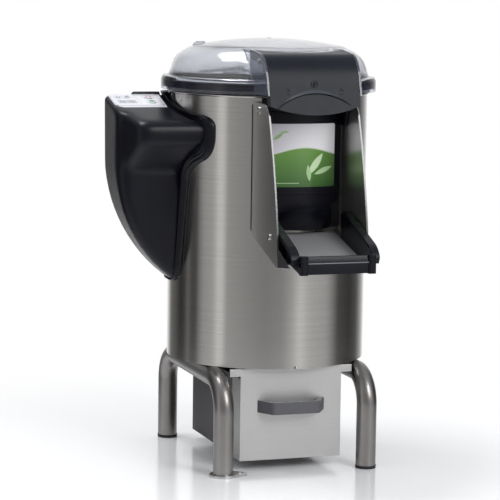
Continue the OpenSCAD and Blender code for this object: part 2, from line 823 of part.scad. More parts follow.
module chute_frame() {
  boss_r = 8;
  bar_y = chute_front_y + 4;
  ledge_w = 10;
  inner = chute_half_w - chute_wall;
  floor_pts = floor_line(-0.1);
  color(BLACK) at_axis() difference() {
    union() {
      both_sides() {
        side_plate(inner, chute_wall) polygon(concat(
          [for (p = arm_edge()) p - [0, 3]], [[chute_front_y + 4, bar_top - 1]],
          [chute_under()[2], chute_under()[1], chute_under()[0]]));
        side_plate(chute_half_w - 2, rail_half_w - chute_half_w + 2) polygon(concat(
          arm_edge(), [[chute_front_y + 22, bar_top - 18]],
          [for (i = [len(arm_edge()) - 2:-1:0]) arm_edge()[i] - [-1, rail_t]]));
        side_plate(inner - ledge_w, ledge_w + 1) polygon(concat(
          [floor_pts[1], floor_pts[2], floor_pts[3]],
          [chute_under()[2], chute_under()[1], chute_under()[0]]));
        translate([chute_half_w - post_w, chute_front_y, bar_bottom])
          linear_extrude(bar_top - bar_bottom + 1) round_rect(0, 0, post_w, post_w + 1, 4);
        translate([chute_half_w - 1, chute_screw_y, chute_screw_z])
          rotate([0, 90, 0]) cylinder(r = boss_r, h = cheek_x - chute_half_w + 1 - 0.1);
      }
      side_plate(-chute_half_w + 2, 2 * chute_half_w - 4) polygon([
        [bar_y, bar_bottom + 1], [bar_y, bar_top - 12], [bar_y + 4, bar_top],
        [bar_y + 12, bar_top], [bar_y + 12, bar_bottom + 3]]);
    }
    both_sides() translate([chute_half_w - 5, chute_front_y + 8, bar_bottom + 19])
      rotate([0, 90, 0]) cylinder(r = 5.5, h = 10);
    both_sides() translate([chute_half_w - 1, chute_screw_y, chute_screw_z])
      rotate([0, 90, 0]) cylinder(r = chute_screw_r, h = 30);
  }
}

module chute_floor() {
  half = chute_half_w - chute_wall - 0.3;
  low = floor_line(0);
  high = floor_line(floor_t);
  color(STEEL) at_axis() side_plate(-half, 2 * half) polygon([
    low[0], low[1], low[2], low[3], high[3], high[2], high[1], high[0]]);
}

module chute_screws() {
  color(STEEL) at_axis() both_sides()
    translate([cheek_x + cheek_t, chute_screw_y, chute_screw_z])
      screw_x(chute_screw_r - 0.1, cheek_t + cheek_x - chute_half_w - 1);
}

// ---------------------------------------------------------------- lid

// The lid's side and top as (r, z), for the outer face or one that is set in by t
function dome_profile(t) = concat(
  curve([dome_foot_r - t, dome_foot_z - t], [dome_foot_r - 12 - t, edge_z - 26 - t],
        [shoulder_r, edge_z - t], 8),
  [for (i = [1:8]) let (r = shoulder_r * (1 - i / 8))
    [r, crown_z - t - crown_drop * pow(r / shoulder_r, 2)]]);

module dome_solid(t) {
  rotate_extrude() polygon(concat([[0, rim_bottom - 1], [dome_foot_r - t, rim_bottom - 1]],
                                  dome_profile(t)));
}

// The hood's outer face as (y, z), from its rear edge down to its lower edge
function hood_face() = concat(
  [[hood_rear_y, hood_rear_z]],
  curve([-(drum_r + 22), hood_rear_z - 6], [-(drum_r + 58), hood_rear_z - 10],
        [-(drum_r + 70), crown_z - 79], 8),
  [[hood_front_y, hood_low_z]]);

function inwards(points, t) = [for (p = points) p + t * [
  p.y > hood_rear_z - 8 ? 0.1 : (p.y < crown_z - 79 + 1 ? 1 : 0.75),
  p.y > hood_rear_z - 8 ? -1 : (p.y < crown_z - 79 + 1 ? 0 : -0.6)]];

// The hood's outline from the side, t thick, lifted off its face by lift
module hood_band(lift, t) {
  polygon(concat(inwards(hood_face(), -lift),
    [for (i = [len(hood_face()) - 1:-1:0]) inwards(hood_face(), t)[i]]));
}

// The clear shell as (r, z): up the outer face to the crown and back down inside
function lid_shell() = concat(
  [[rim_r, rim_bottom], [rim_r, rim_top - 5], [rim_r - 3, rim_top + 1],
   [dome_foot_r + 2, rim_top + 3]],
  dome_profile(0),
  [for (i = [len(dome_profile(0)) - 1:-1:0]) dome_profile(lid_t)[i]],
  [[dome_foot_r - lid_t, rim_top - 5], [rim_r - 3.5, rim_top - 5], [rim_r - 3.5, rim_bottom]]);

// The side of the arch at the front of the lid as (y, z)
function arch_side() = concat(
  [[arch_rear_y, rim_bottom + 3], [arch_rear_y, edge_z - 3]],
  [for (p = inwards(hood_face(), -0.6)) if (p.y > rim_bottom + 4) p],
  [[hood_front_y + 6, rim_bottom + 3]]);

module lid_dome() {
  inner_rise = hood_t + 0.2;
  color(CLEAR) at_axis() difference() {
    union() {
      rotate_extrude() polygon(lid_shell());
      translate([0, 0, crown_z - 1]) cylinder(r = 4, h = 2);
      difference() {
        union() {
          both_sides() side_plate(arch_half_w - arch_wall, arch_wall) polygon(arch_side());
          difference() {
            side_plate(-arch_half_w, 2 * arch_half_w) polygon([
              [arch_rear_y, edge_z - 3], [hood_rear_y, hood_rear_z - inner_rise],
              [-(drum_r + 22), hood_rear_z - inner_rise - 6.2],
              [-(drum_r + 22), hood_rear_z - inner_rise - 9],
              [hood_rear_y, hood_rear_z - inner_rise - 3], [arch_rear_y, edge_z - 6]]);
            both_sides() translate([hood_half_w - hood_rib_w - seat, -drum_r - 60, edge_z - 40])
              cube([arch_half_w - arch_wall - hood_half_w + hood_rib_w + seat, 96, 60]);
          }
        }
        dome_solid(1);
        translate([0, 0, rim_bottom - 5]) cylinder(r = rim_r - 1, h = rim_h);
      }
    }
    both_sides() translate([arch_half_w - 10, hood_screw_y, hood_screw_z])
      rotate([0, 90, 0]) cylinder(r = hood_screw_r + hole_gap, h = 20);
  }
}

module lid_hood() {
  color(SLATE) at_axis() difference() {
    union() {
      intersection() {
        union() {
          side_plate(-hood_half_w, 2 * hood_half_w) hood_band(0, hood_t);
          both_sides() side_plate(hood_half_w - hood_rib_w, hood_rib_w) hood_band(0, 18);
        }
        front_plate(-drum_r - 200, 300) translate([0, hood_low_z + hood_edge_r])
          circle(hood_edge_r, $fn = 180);
        translate([-150, hood_front_y - 30, hood_low_z - 5]) cube([300, 300, crown_z]);
      }
      intersection() {
        side_plate(-hood_half_w, 2 * hood_half_w) hood_band(grip_t, 1);
        front_plate(-drum_r - 200, 300) intersection() {
          translate([0, hood_low_z + hood_edge_r]) circle(hood_edge_r, $fn = 180);
          translate([0, grip_top_z - grip_r]) circle(grip_r);
        }
      }
    }
    translate([0, hood_rear_y - hood_notch + grip_r, crown_z - 60])
      cylinder(r = grip_r, h = 80);
    both_sides() translate([hood_half_w - 10, hood_screw_y, hood_screw_z])
      rotate([0, 90, 0]) cylinder(r = hood_screw_r, h = 20);
  }
}

module hood_screws() {
  color(STEEL) at_axis() both_sides() translate([arch_half_w, hood_screw_y, hood_screw_z])
    screw_x(hood_screw_r - 0.1, arch_half_w - hood_half_w + 3);
}

module lid_seal() {
  color(RUBBER) at_axis() rotate_extrude() polygon([
    [drum_r - 5, drum_top + bead_r + 0.3], [drum_r + 5, drum_top + bead_r + 0.3],
    [drum_r + 6, rim_bottom + 1], [rim_r - 4, rim_bottom + 1], [rim_r - 4, rim_top - 5],
    [rim_r - 11, rim_top - 5], [rim_r - 12, rim_bottom + 5],
    [drum_r - 5, rim_bottom + 3]]);
}

// ---------------------------------------------------------------- lid hinge

module hinge_bracket() {
  foot_h = 46;
  foot_z = drum_top - 8 - foot_h;
  color(STEEL) at_axis() difference() {
    union() {
      translate([-ear_x0 - ear_t, drum_r - 12, foot_z])
        cube([2 * (ear_x0 + ear_t), 18, foot_h]);
      both_sides() side_plate(ear_x0, ear_t) {
        translate([hinge_y, hinge_z]) circle(knuckle_r);
        polygon([[drum_r + 4, foot_z], [drum_r + 4, foot_z + foot_h],
                 [hinge_y - knuckle_r, hinge_z], [hinge_y + knuckle_r, hinge_z],
                 [hinge_y + knuckle_r, hinge_z - 14], [drum_r + 14, foot_z]]);
      }
    }
    translate([0, 0, foot_z - 10]) cylinder(r = drum_r + 0.1, h = 100);
    translate([-100, hinge_y, hinge_z]) rotate([0, 90, 0])
      cylinder(r = hinge_pin_r + 0.02, h = 200);
  }
}

module hinge_pin() {
  l = 2 * (ear_x0 + ear_t);
  color(STEEL) at_axis() translate([0, hinge_y, hinge_z]) rotate([0, 90, 0]) {
    translate([0, 0, -l / 2 - 4]) cylinder(r = hinge_pin_r, h = l + 8);
    for (s = [-1, 1]) translate([0, 0, s * (l / 2 + 2.2) - 2])
      cylinder(r = hinge_pin_r + 3, h = 4);
  }
}

module hinge_leaf() {
  color(STEEL) at_axis() difference() {
    union() {
      translate([-leaf_w / 2, hinge_y, hinge_z]) rotate([0, 90, 0])
        cylinder(r = knuckle_r, h = leaf_w);
      translate([-leaf_w / 2, rim_r - 8, hinge_z - 6])
        cube([leaf_w, hinge_y - rim_r + 8, rim_top - hinge_z + 4]);
    }
    translate([0, 0, rim_bottom - 20]) cylinder(r = rim_r + 0.1, h = 100);
    translate([-100, hinge_y, hinge_z]) rotate([0, 90, 0])
      cylinder(r = hinge_pin_r + run, h = 200);
  }
}

// ---------------------------------------------------------------- control box

// Places children on the sloping control panel, at (x, distance up the slope)
module on_panel(at) {
  translate([panel_x, panel_y, panel_z]) rotate([panel_slope, 0, 0])
    translate([at.x, at.y, 0]) children();
}

// A round disc with a rounded rim, the building block of the box's body
module puck(r) {
  e = box_edge;
  rotate_extrude($fn = 32) {
    translate([0, -e]) square([r - e, 2 * e]);
    translate([r - e, 0]) intersection() {
      circle(e, $fn = 24);
      translate([0, -e]) square([e, 2 * e]);
    }
  }
}

// How much narrower the box's column is at height z than at its top
function box_taper(z) = max(0, box_knee - 20 - z) * 0.11;

// Height of the box's sloping top at y
function box_top_z(y) = box_top - (box_rear - y) * tan(panel_slope);

// The body of the box: a column that sweeps in to the drum, and a part to the front whose
// underside slopes back to the column
module box_body() {
  r = box_corner;
  e = box_edge;
  rear = box_rear - r;
  col = r - box_col;
  front = r - box_front;
  lean = [20, 6];
  slope = [40, -13];
  hull() {
    for (a = [0:7:56]) let (z = box_knee - (box_sweep - e) * sin(a), t = box_taper(z))
      translate([r - e - sweep_x - (box_sweep - e) * cos(a), 0, z]) {
        translate([0, rear - t, 0]) puck(r);
        translate([0, col + t, 0]) puck(r);
      }
    for (x = [r - box_out, 80 - drum_r], y = [rear, col])
      translate([x, y, box_top_z(y) - e]) puck(r);
    for (y = [rear - box_taper(box_foot_z), col + box_taper(box_foot_z)])
      translate([80 - drum_r, y, box_foot_z]) puck(r);
  }
  hull() {
    for (x = [r - box_out + lean[0], 100 - drum_r]) translate([x, front, 0]) {
      translate([0, 0, box_top_z(-box_front) + 4 - e]) puck(r);
      translate([0, 0, box_knee + slope[0]]) puck(r);
    }
    for (x = [r - box_out + lean[1], 100 - drum_r]) translate([x, col, 0]) {
      translate([0, 0, box_top_z(col) - e - 1]) puck(r);
      translate([0, 0, box_knee + slope[1]]) puck(r);
    }
  }
}

// The space inside the box
module box_inside() {
  top = box_top_z(-box_front) - 14;
  cover = 14;
  inset = box_wall + 6;
  low = box_taper(box_foot_z);
  side = 44;
  floor_z = box_knee + 28;
  intersection() {
    front_plate(-box_col, box_col + box_rear) polygon(concat(
      [[-drum_r + 40, box_top], [-box_out + box_wall + 2, box_top]],
      arc([-sweep_x, box_knee], box_sweep - box_wall - 1, 180, 228, 10),
      [[-drum_r + 40, box_foot_z + 26]]));
    side_plate(-box_out, box_out) polygon([
      [box_rear - inset, box_top_z(box_rear - inset) - cover], [box_rear - inset, box_knee - 20],
      [box_rear - inset - low, box_foot_z], [inset + low - box_col, box_foot_z],
      [inset - box_col, box_knee - 20], [inset - box_col, box_top_z(inset - box_col) - cover]]);
  }
  side_plate(side - box_out, box_out - side - drum_r + 60) polygon([
    [box_wall - box_front, top - 8], [box_wall - box_front, floor_z + box_corner],
    [25 - box_front, floor_z], [box_wall - 20, floor_z], [box_wall - 20, top - 8]]);
}

// The box's outline on the drum as (y, z), grown by g
module box_outline(g) {
  rear_x = box_rear + g;
  foot = box_foot_z - g;
  low = box_taper(box_foot_z);
  corner = 24 + g;
  top = box_top_z(-box_col) + 0.4 * g;
  polygon(concat(
    [[rear_x - 4, box_top - 4 + 0.3 * g], [rear_x, box_top - 12]],
    arc([rear_x - low - corner, foot + corner], corner, 0, -90, 8),
    arc([corner + low - box_col - g, foot + corner], corner, -90, -178, 8),
    curve([-box_col - g, box_knee - 35 - 0.5 * g], [-box_col - g - 3, box_knee - 4 - g],
          [-box_front + 30 - g, box_knee + 13 - g], 8),
    curve([-box_front + 20 - g, box_knee + 18 - g], [-box_front - g, box_knee + 31 - g],
          [-box_front - g, box_knee + 56], 8),
    curve([-box_front - g, top - 30], [-box_front - g, top - 10 + 0.4 * g],
          [-box_front + 28, top - 5], 8),
    [[-box_col + 14, top + 4], [box_rear / 2, box_top_z(box_rear / 2) + 0.4 * g]]));
}

// The groove along the flange, between the box and the flange's raised rim
module flange_groove(floor_r) {
  intersection() {
    side_plate(-box_out, box_out) difference() {
      box_outline(0.62 * flange_w);
      box_outline(0.36 * flange_w);
    }
    translate([0, 0, box_foot_z - 40]) ring(drum_r + 40, floor_r, box_top);
  }
}

module box_shell() {
  flange_t = 5;
  groove_t = 2.4;
  color(BLACK) at_axis() difference() {
    union() {
      box_body();
      intersection() {
        side_plate(-box_out, box_out) box_outline(flange_w);
        translate([0, 0, box_foot_z - 40])
          ring(drum_r + box_gasket_t + flange_t, drum_r - 20, box_top);
      }
      front_plate(box_rear - 15, 9) polygon([
        [-box_out + 60, box_top - 8], [-box_out + 66, box_top + 5],
        [-drum_r - 12, box_top + 5], [-drum_r - 4, box_top - 8]]);
    }
    translate([0, 0, 300]) cylinder(r = drum_r + box_gasket_t + 0.1, h = 500);
    flange_groove(drum_r + box_gasket_t + flange_t - groove_t);
    box_inside();
    on_panel([0, 0]) translate([-panel_w / 2 - seat, -seat, -panel_sink])
      linear_extrude(20) round_rect(0, 0, panel_w + 2 * seat, panel_d + 2 * seat, 8);
    for (p = [start_at, stop_at]) on_panel(p) translate([0, 0, -button_pocket])
      cylinder(r = button_r + 1, h = 20);
    for (p = [more_at, less_at]) on_panel(p) translate([0, 0, -button_pocket])
      cylinder(r = key_r + 1, h = 20);
    translate([-box_out + 70, gland_y - 30, gland_z]) rotate([-90, 0, 0])
      cylinder(r = 8.2, h = 60);
  }
}

module box_gasket() {
  color(RUBBER) at_axis() intersection() {
    side_plate(-box_out, box_out) difference() {
      box_outline(flange_w - 1);
      box_outline(-4);
    }
    translate([0, 0, box_foot_z - 40])
      ring(drum_r + box_gasket_t, drum_r + 0.1, box_top);
  }
}

module control_panel() {
  color([0.75, 0.76, 0.77]) at_axis() on_panel([0, 0])
    translate([-panel_w / 2, 0, -panel_sink]) difference() {
      linear_extrude(panel_t) round_rect(0, 0, panel_w, panel_d, 8);
      for (p = [start_at, stop_at]) translate([p.x + panel_w / 2, p.y, -1])
        cylinder(r = button_r + seat, h = panel_t + 2);
      for (p = [more_at, less_at]) translate([p.x + panel_w / 2, p.y, -1])
        cylinder(r = key_r + seat, h = panel_t + 2);
      translate([display_at.x + panel_w / 2 - display_size.x / 2,
                 display_at.y - display_size.y / 2, panel_t - 0.8])
        cube([display_size.x, display_size.y, 3]);
    }
}

// A push button with a wide foot below the panel that it can't pass
module push_button(at, r) {
  top = panel_t - panel_sink + button_proud;
  foot = 3;
  at_axis() on_panel(at) {
    translate([0, 0, -panel_sink - foot]) cylinder(r = r, h = top + panel_sink + foot - 0.6);
    translate([0, 0, top - 0.6]) cylinder(r1 = r, r2 = r - 0.6, h = 0.6);
    translate([0, 0, -panel_sink - foot]) cylinder(r = r + 0.7, h = foot - 0.3);
  }
}

module start_button() { color([0.20, 0.55, 0.28]) push_button(start_at, button_r); }

module stop_button() { color([0.75, 0.12, 0.10]) push_button(stop_at, button_r); }

module more_time_button() { color(GREY) push_button(more_at, key_r); }

module less_time_button() { color(GREY) push_button(less_at, key_r); }

module timer_display() {
  color([0.10, 0.04, 0.04]) at_axis() on_panel(display_at)
    translate([0.2 - display_size.x / 2, 0.2 - display_size.y / 2,
               panel_t - panel_sink - 0.8])
      cube([display_size.x - 0.4, display_size.y - 0.4, 0.8]);
}

module circuit_board() {
  board_w = box_out - drum_r - 58;
  board_z = box_knee + 33;
  board_d = 70;
  color([0.10, 0.35, 0.20]) at_axis() translate([-box_out + 40, -board_d / 2 - 5, board_z]) {
    cube([board_w, board_d, 1.6]);
    for (p = [[0.09, 10, 0.28, 12], [0.57, 10, 0.20, 16], [0.17, 40, 0.34, 9], [0.66, 44, 0.17, 20]])
      translate([p[0] * board_w, p[1], 1.6]) cube([p[2] * board_w, 18, p[3]]);
    for (x = [5, board_w - 5], y = [5, board_d - 5])
      translate([x, y, -40]) cylinder(r = 3, h = 40);
    translate([-2, -2, -43]) cube([box_out - drum_r - 38 - seat, board_d + 4, 3]);
  }
}

module contactor() {
  wall_room = 78;
  contactor_w = box_out - drum_r - wall_room;
  contactor_d = 48;
  base_w = 20;
  drop = 137;
  color([0.30, 0.30, 0.32]) at_axis()
    translate([-drum_r - base_w - contactor_w, -contactor_d / 2, box_knee - drop]) {
      cube([contactor_w, contactor_d, 66]);
      translate([-14, 6, 10]) cube([14, contactor_d - 12, 46]);
      for (i = [0:2]) translate([8, 6 + 13 * i, 66]) cube([0.6 * contactor_w, 9, 5]);
      translate([contactor_w, 0, 8]) cube([base_w - seat, contactor_d, 50]);
    }
}

module cable_gland() {
  color(GREY) at_axis() translate([-box_out + 70, gland_y, gland_z])
    rotate([-90, 0, 0]) difference() {
      union() {
        translate([0, 0, -16]) cylinder(r = 8, h = 18);
        translate([0, 0, 0.2]) cylinder(r = 13, h = 6, $fn = 6);
        translate([0, 0, 6.2]) cylinder(r = 10.5, h = 10);
        translate([0, 0, 16.2]) cylinder(r1 = 10.5, r2 = 7, h = 5);
        translate([0, 0, -16]) cylinder(r = 12.5, h = 4, $fn = 6);
      }
      translate([0, 0, -20]) cylinder(r = gland_hole_r, h = 60);
    }
}

// ---------------------------------------------------------------- drive

module pulley(r) {
  hub = pulley_h;
  rotate_extrude() polygon([
    [spindle_r, 0], [r, 0], [r, 3], [r - groove_d, 4], [r - groove_d, 4 + groove_h],
    [r, pulley_h - 3], [r, pulley_h], [spindle_r, hub]]);
}

module driven_pulley() {
  web = 5;
  color(DARK_STEEL) at_axis() translate([0, 0, pulley_z]) difference() {
    pulley(big_pulley_r);
    for (z = [-1, pulley_h - web]) translate([0, 0, z])
      ring(big_pulley_r - groove_d - 7, spindle_r + 12, web + 1);
    for (i = [0:5]) rotate([0, 0, 60 * i]) translate([big_pulley_r / 2 + 6, 0, -1])
      cylinder(r = 11, h = pulley_h + 2);
    translate([0, 0, -1]) cylinder(r = spindle_r + run, h = pulley_h + 2);
  }
}

module motor_pulley() {
  color(DARK_STEEL) at_axis() translate([motor_at.x, motor_at.y, pulley_z]) difference() {
    rotate_extrude() polygon([
      [0, 0], [small_pulley_r, 0], [small_pulley_r, 3], [small_pulley_r - groove_d, 4],
      [small_pulley_r - groove_d, 4 + groove_h], [small_pulley_r, pulley_h - 3],
      [small_pulley_r, pulley_h], [0, pulley_h]]);
    translate([0, 0, -1]) cylinder(r = motor_shaft_r + run, h = pulley_h + 2);
  }
}

// The outline of a loop that lies round both pulleys, inset from their rims
function belt_loop(inset) =
  let (
    a = acos((big_pulley_r - small_pulley_r) / shaft_distance),
    small = arc([shaft_distance, 0], small_pulley_r - inset, -a, a, 14)
  )
  concat(arc([0, 0], big_pulley_r - inset, a, 360 - a, 40), small);

module drive_belt() {
  inner = groove_d - seat;
  color(RUBBER) at_axis() translate([0, 0, pulley_z + 5]) rotate([0, 0, 90])
    linear_extrude(groove_h - 2) difference() {
      polygon(belt_loop(inner - belt_t));
      polygon(belt_loop(inner));
    }
}

module motor_shaft() {
  color(STEEL) at_axis() translate([motor_at.x, motor_at.y, pulley_z - 4])
    cylinder(r = motor_shaft_r, h = motor_bottom - pulley_z + 54);
}

module motor() {
  fin_t = 2.5;
  fin_count = 28;
  core_r = motor_r - 7;
  color(MOTOR_BLUE) at_axis() translate([motor_at.x, motor_at.y, motor_bottom]) {
    difference() {
      union() {
        translate([0, 0, 14]) cylinder(r = core_r, h = motor_h - 28);
        cylinder(r = motor_r, h = 14);
        translate([0, 0, motor_h - 14]) cylinder(r = motor_r, h = 14);
        translate([0, 0, 14]) linear_extrude(motor_h - 28)
          for (i = [0:fin_count - 1]) rotate(360 * i / fin_count)
            translate([core_r - 1, -fin_t / 2]) square([motor_r - core_r, fin_t]);
        translate([motor_r - 14, -22, 50]) cube([26, 44, 50]);
      }
      translate([0, 0, -1]) cylinder(r = motor_shaft_r + run, h = 52);
    }
  }
}

module motor_bracket() {
  w = 2 * motor_r + 10;
  t = 4;
  color(DARK_STEEL) at_axis() difference() {
    union() {
      translate([-w / 2, motor_at.y - motor_r, motor_top]) cube([w, 2 * motor_r, t]);
      both_sides() translate([w / 2 - t, motor_at.y - motor_r, motor_top])
        cube([t, 2 * motor_r, deck_z - motor_top - 0.1]);
      both_sides() translate([w / 2 - 20, motor_at.y - motor_r, deck_z - t - 0.1])
        cube([20, 2 * motor_r, t]);
    }
    translate([0, 0, motor_top - 50]) difference() {
      cylinder(r = 400, h = 100);
      translate([0, 0, -1]) cylinder(r = bore_r - 4, h = 102);
    }
  }
}

module spindle() {
  color(STEEL) at_axis() {
    translate([0, 0, pulley_z - 6])
      cylinder(r = spindle_r, h = plate_z + plate_t + 3 - pulley_z + 6);
    translate([0, 0, plate_z - 4.5]) cylinder(r = spindle_r + 8, h = 4.4);
  }
}

module bearing_housing() {
  boss_h = 9;
  color(DARK_STEEL) at_axis() difference() {
    union() {
      translate([0, 0, deck_z - hub_l]) cylinder(r = hub_r, h = hub_l - 0.1);
      translate([0, 0, deck_z - 10]) cylinder(r = hub_r + 14, h = 9.9);
      translate([0, 0, deck_z - 1]) cylinder(r = hub_r - 5.2, h = deck_t + boss_h + 1);
      for (i = [0:5]) rotate([0, 0, 60 * i]) translate([0, -2, deck_z - hub_l + 14])
        cube([hub_r + 10, 4, hub_l - 20]);
    }
    translate([0, 0, deck_z - hub_l - 1]) cylinder(r = spindle_r + 7, h = hub_l + 40);
    for (z = [deck_z - hub_l - 1, deck_z - bearing_h - 12])
      translate([0, 0, z]) cylinder(r = bearing_r + 0.05,
                                    h = bearing_h + (z < deck_z - hub_l ? 1 : 0));
    translate([0, 0, deck_z + deck_t + boss_h - 7]) cylinder(r = spindle_r + 11, h = 20);
  }
}

module bearings() {
  shield = 1;
  color(STEEL) at_axis() for (z = [deck_z - hub_l, deck_z - bearing_h - 12])
    translate([0, 0, z]) rotate_extrude() polygon([
      [spindle_r + run, 0], [spindle_r + 4, 0], [spindle_r + 4, shield],
      [bearing_r - 4, shield], [bearing_r - 4, 0], [bearing_r, 0],
      [bearing_r, bearing_h], [bearing_r - 4, bearing_h],
      [bearing_r - 4, bearing_h - shield], [spindle_r + 4, bearing_h - shield],
      [spindle_r + 4, bearing_h], [spindle_r + run, bearing_h]]);
}

module shaft_seal() {
  color(RUBBER) at_axis() translate([0, 0, deck_z + deck_t + 2.2])
    rotate_extrude() polygon([
      [spindle_r + seat, 3], [spindle_r + 6, 0], [spindle_r + 10.9, 0],
      [spindle_r + 10.9, 6.5], [spindle_r + 6, 6.5], [spindle_r + seat, 5]]);
}

// ---------------------------------------------------------------- filter housing and drawer

module filter_housing() {
  l = housing_front + housing_rear;
  h = housing_top - housing_bottom;
  color(STEEL) at_axis() difference() {
    union() {
      translate([-housing_half_w, -housing_front, housing_bottom])
        cube([2 * housing_half_w, l, h]);
      translate([-housing_half_w - housing_flange, -housing_front, housing_top - sheet_t])
        cube([2 * (housing_half_w + housing_flange), l, sheet_t]);
    }
    translate([-housing_half_w + sheet_t, -housing_front - 1, housing_bottom + sheet_t])
      cube([2 * (housing_half_w - sheet_t), l + 1 - sheet_t, h]);
    translate([0, housing_rear - 20, housing_bottom + drain_r + 4]) rotate([-90, 0, 0])
      cylinder(r = drain_r + 0.1, h = 40);
    for (x = [-hanger_x, hanger_x], y = bar_y) translate([x, y, housing_top - 10])
      cylinder(r = base_bolt_r - 1 + hole_gap, h = 20);
  }
}

module hanger_bolts() {
  r = base_bolt_r - 1;
  color(DARK_STEEL) at_axis() for (x = [-hanger_x, hanger_x], y = bar_y)
    translate([x, y, housing_top - sheet_t]) {
      translate([0, 0, -4]) cylinder(r = 2 * r, h = 4, $fn = 6);
      cylinder(r = r, h = 8);
    }
}

module tray_rails() {
  inner = tray_half_w + 1;
  outer = housing_half_w - sheet_t - 0.1;
  color(STEEL) at_axis() both_sides() {
    translate([inner, -housing_front + 4, rail_z])
      cube([outer - inner, housing_front + housing_rear - 10, 2]);
    translate([outer - 2, -housing_front + 4, rail_z - 10])
      cube([2, housing_front + housing_rear - 10, 10]);
  }
}

module filter_tray() {
  t = 1.5;
  color(STEEL) at_axis() translate([0, front_y + sheet_t + 0.1, 0]) difference() {
    union() {
      translate([-tray_half_w, 0, tray_bottom])
        cube([2 * tray_half_w, tray_l, tray_top - tray_bottom]);
      translate([-tray_half_w - 3.5, 2, rail_z + 2 + seat])
        cube([2 * tray_half_w + 7, tray_l - 2, tray_top - rail_z - 2 - seat]);
    }
    translate([-tray_half_w + t, t, tray_bottom + t])
      cube([2 * (tray_half_w - t), tray_l - 2 * t, tray_top]);
    for (x = [-2:1:1], y = [1:floor(tray_l / slot_pitch) - 2])
      translate([x * (slot_l + 8) + 4, y * slot_pitch, tray_bottom - 1])
        cube([slot_l, slot_w, 4]);
  }
}

module drawer_front() {
  h = front_top - housing_bottom;
  ear_z = front_top - ear_h;
  color(STEEL) at_axis() translate([0, front_y, 0]) {
    translate([-front_half_w, 0, housing_bottom]) cube([2 * front_half_w, sheet_t, h]);
    translate([-ear_half_w, 0, ear_z]) cube([2 * ear_half_w, sheet_t, ear_h]);
    both_sides() {
      translate([front_half_w - sheet_t, 0, housing_bottom])
        cube([sheet_t, fold_d, ear_z - 4 - housing_bottom]);
      translate([ear_half_w - sheet_t, 0, ear_z]) cube([sheet_t, 5, ear_h]);
    }
  }
}

// The handle's plan: a bar with two arms that splay out to the panel
module handle_plan(w, bar, reach, r) {
  polygon(concat([[-w / 2, 0], [w / 2, 0]],
    arc([bar / 2 - r, r - reach], r, -20, -90, 6),
    arc([r - bar / 2, r - reach], r, -90, -160, 6)));
}

module drawer_handle() {
  arm = 1.2 * handle_t;
  color(GREY) at_axis() translate([0, front_y - 0.05, handle_z - handle_h / 2]) difference() {
    linear_extrude(handle_h) handle_plan(handle_w, handle_bar_w, handle_reach, 10);
    translate([0, 1, 4]) linear_extrude(handle_h)
      handle_plan(handle_w - 2 * arm, handle_bar_w - 2 * arm, handle_reach - handle_t + 1, 4);
    translate([0, 1, -1]) linear_extrude(handle_h)
      handle_plan(handle_w - 4 * arm, handle_bar_w - 3 * arm,
                  handle_reach - handle_t + 1, 4);
  }
}

// ---------------------------------------------------------------- connections

module drain_outlet() {
  color(STEEL) at_axis() translate([0, housing_rear - 4, housing_bottom + drain_r + 4])
    rotate([-90, 0, 0]) {
      ring(drain_r, drain_r - 2, drain_l + 4);
      translate([0, 0, 4.1]) ring(drain_r + 7, drain_r - 1, 2);
    }
}

module water_inlet() {
  pipe_r = inlet_r - 2;
  color([0.72, 0.62, 0.35]) at_axis() translate([0, drum_r + inlet_reach, inlet_z])
    rotate([90, 0, 0]) difference() {
      union() {
        cylinder(r = inlet_r, h = inlet_l);
        translate([0, 0, inlet_l]) cylinder(r = 18, h = 10, $fn = 6);
        translate([0, 0, inlet_l + 9]) cylinder(r = pipe_r, h = inlet_reach - inlet_l);
        translate([0, 0, inlet_reach - 4.5]) cylinder(r = 17, h = 4);
      }
      translate([0, 0, -1]) cylinder(r = pipe_r - 3, h = 100);
    }
}

// ---------------------------------------------------------------- drawing

left_stand_tube();
right_stand_tube();
cross_bars();
rubber_feet();
fixing_foot();
drum_shell();
drum_base();
base_bolts();
chamber_deck();
waste_duct();
abrasive_liner();
mouth_gasket();
left_cheek();
right_cheek();
mouth_tray();
chute_frame();
chute_floor();
chute_screws();
door_panel();
door_label();
door_pivots();
lid_dome();
lid_hood();
hood_screws();
lid_seal();
hinge_bracket();
hinge_leaf();
hinge_pin();
box_shell();
box_gasket();
control_panel();
start_button();
stop_button();
more_time_button();
less_time_button();
timer_display();
circuit_board();
contactor();
cable_gland();
motor();
motor_bracket();
motor_shaft();
motor_pulley();
drive_belt();
driven_pulley();
spindle();
bearing_housing();
bearings();
shaft_seal();
abrasive_plate();
filter_housing();
hanger_bolts();
tray_rails();
filter_tray();
drawer_front();
drawer_handle();
drain_outlet();
water_inlet();
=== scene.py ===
import json
import math

import bmesh
import bpy
from mathutils import Matrix, Vector

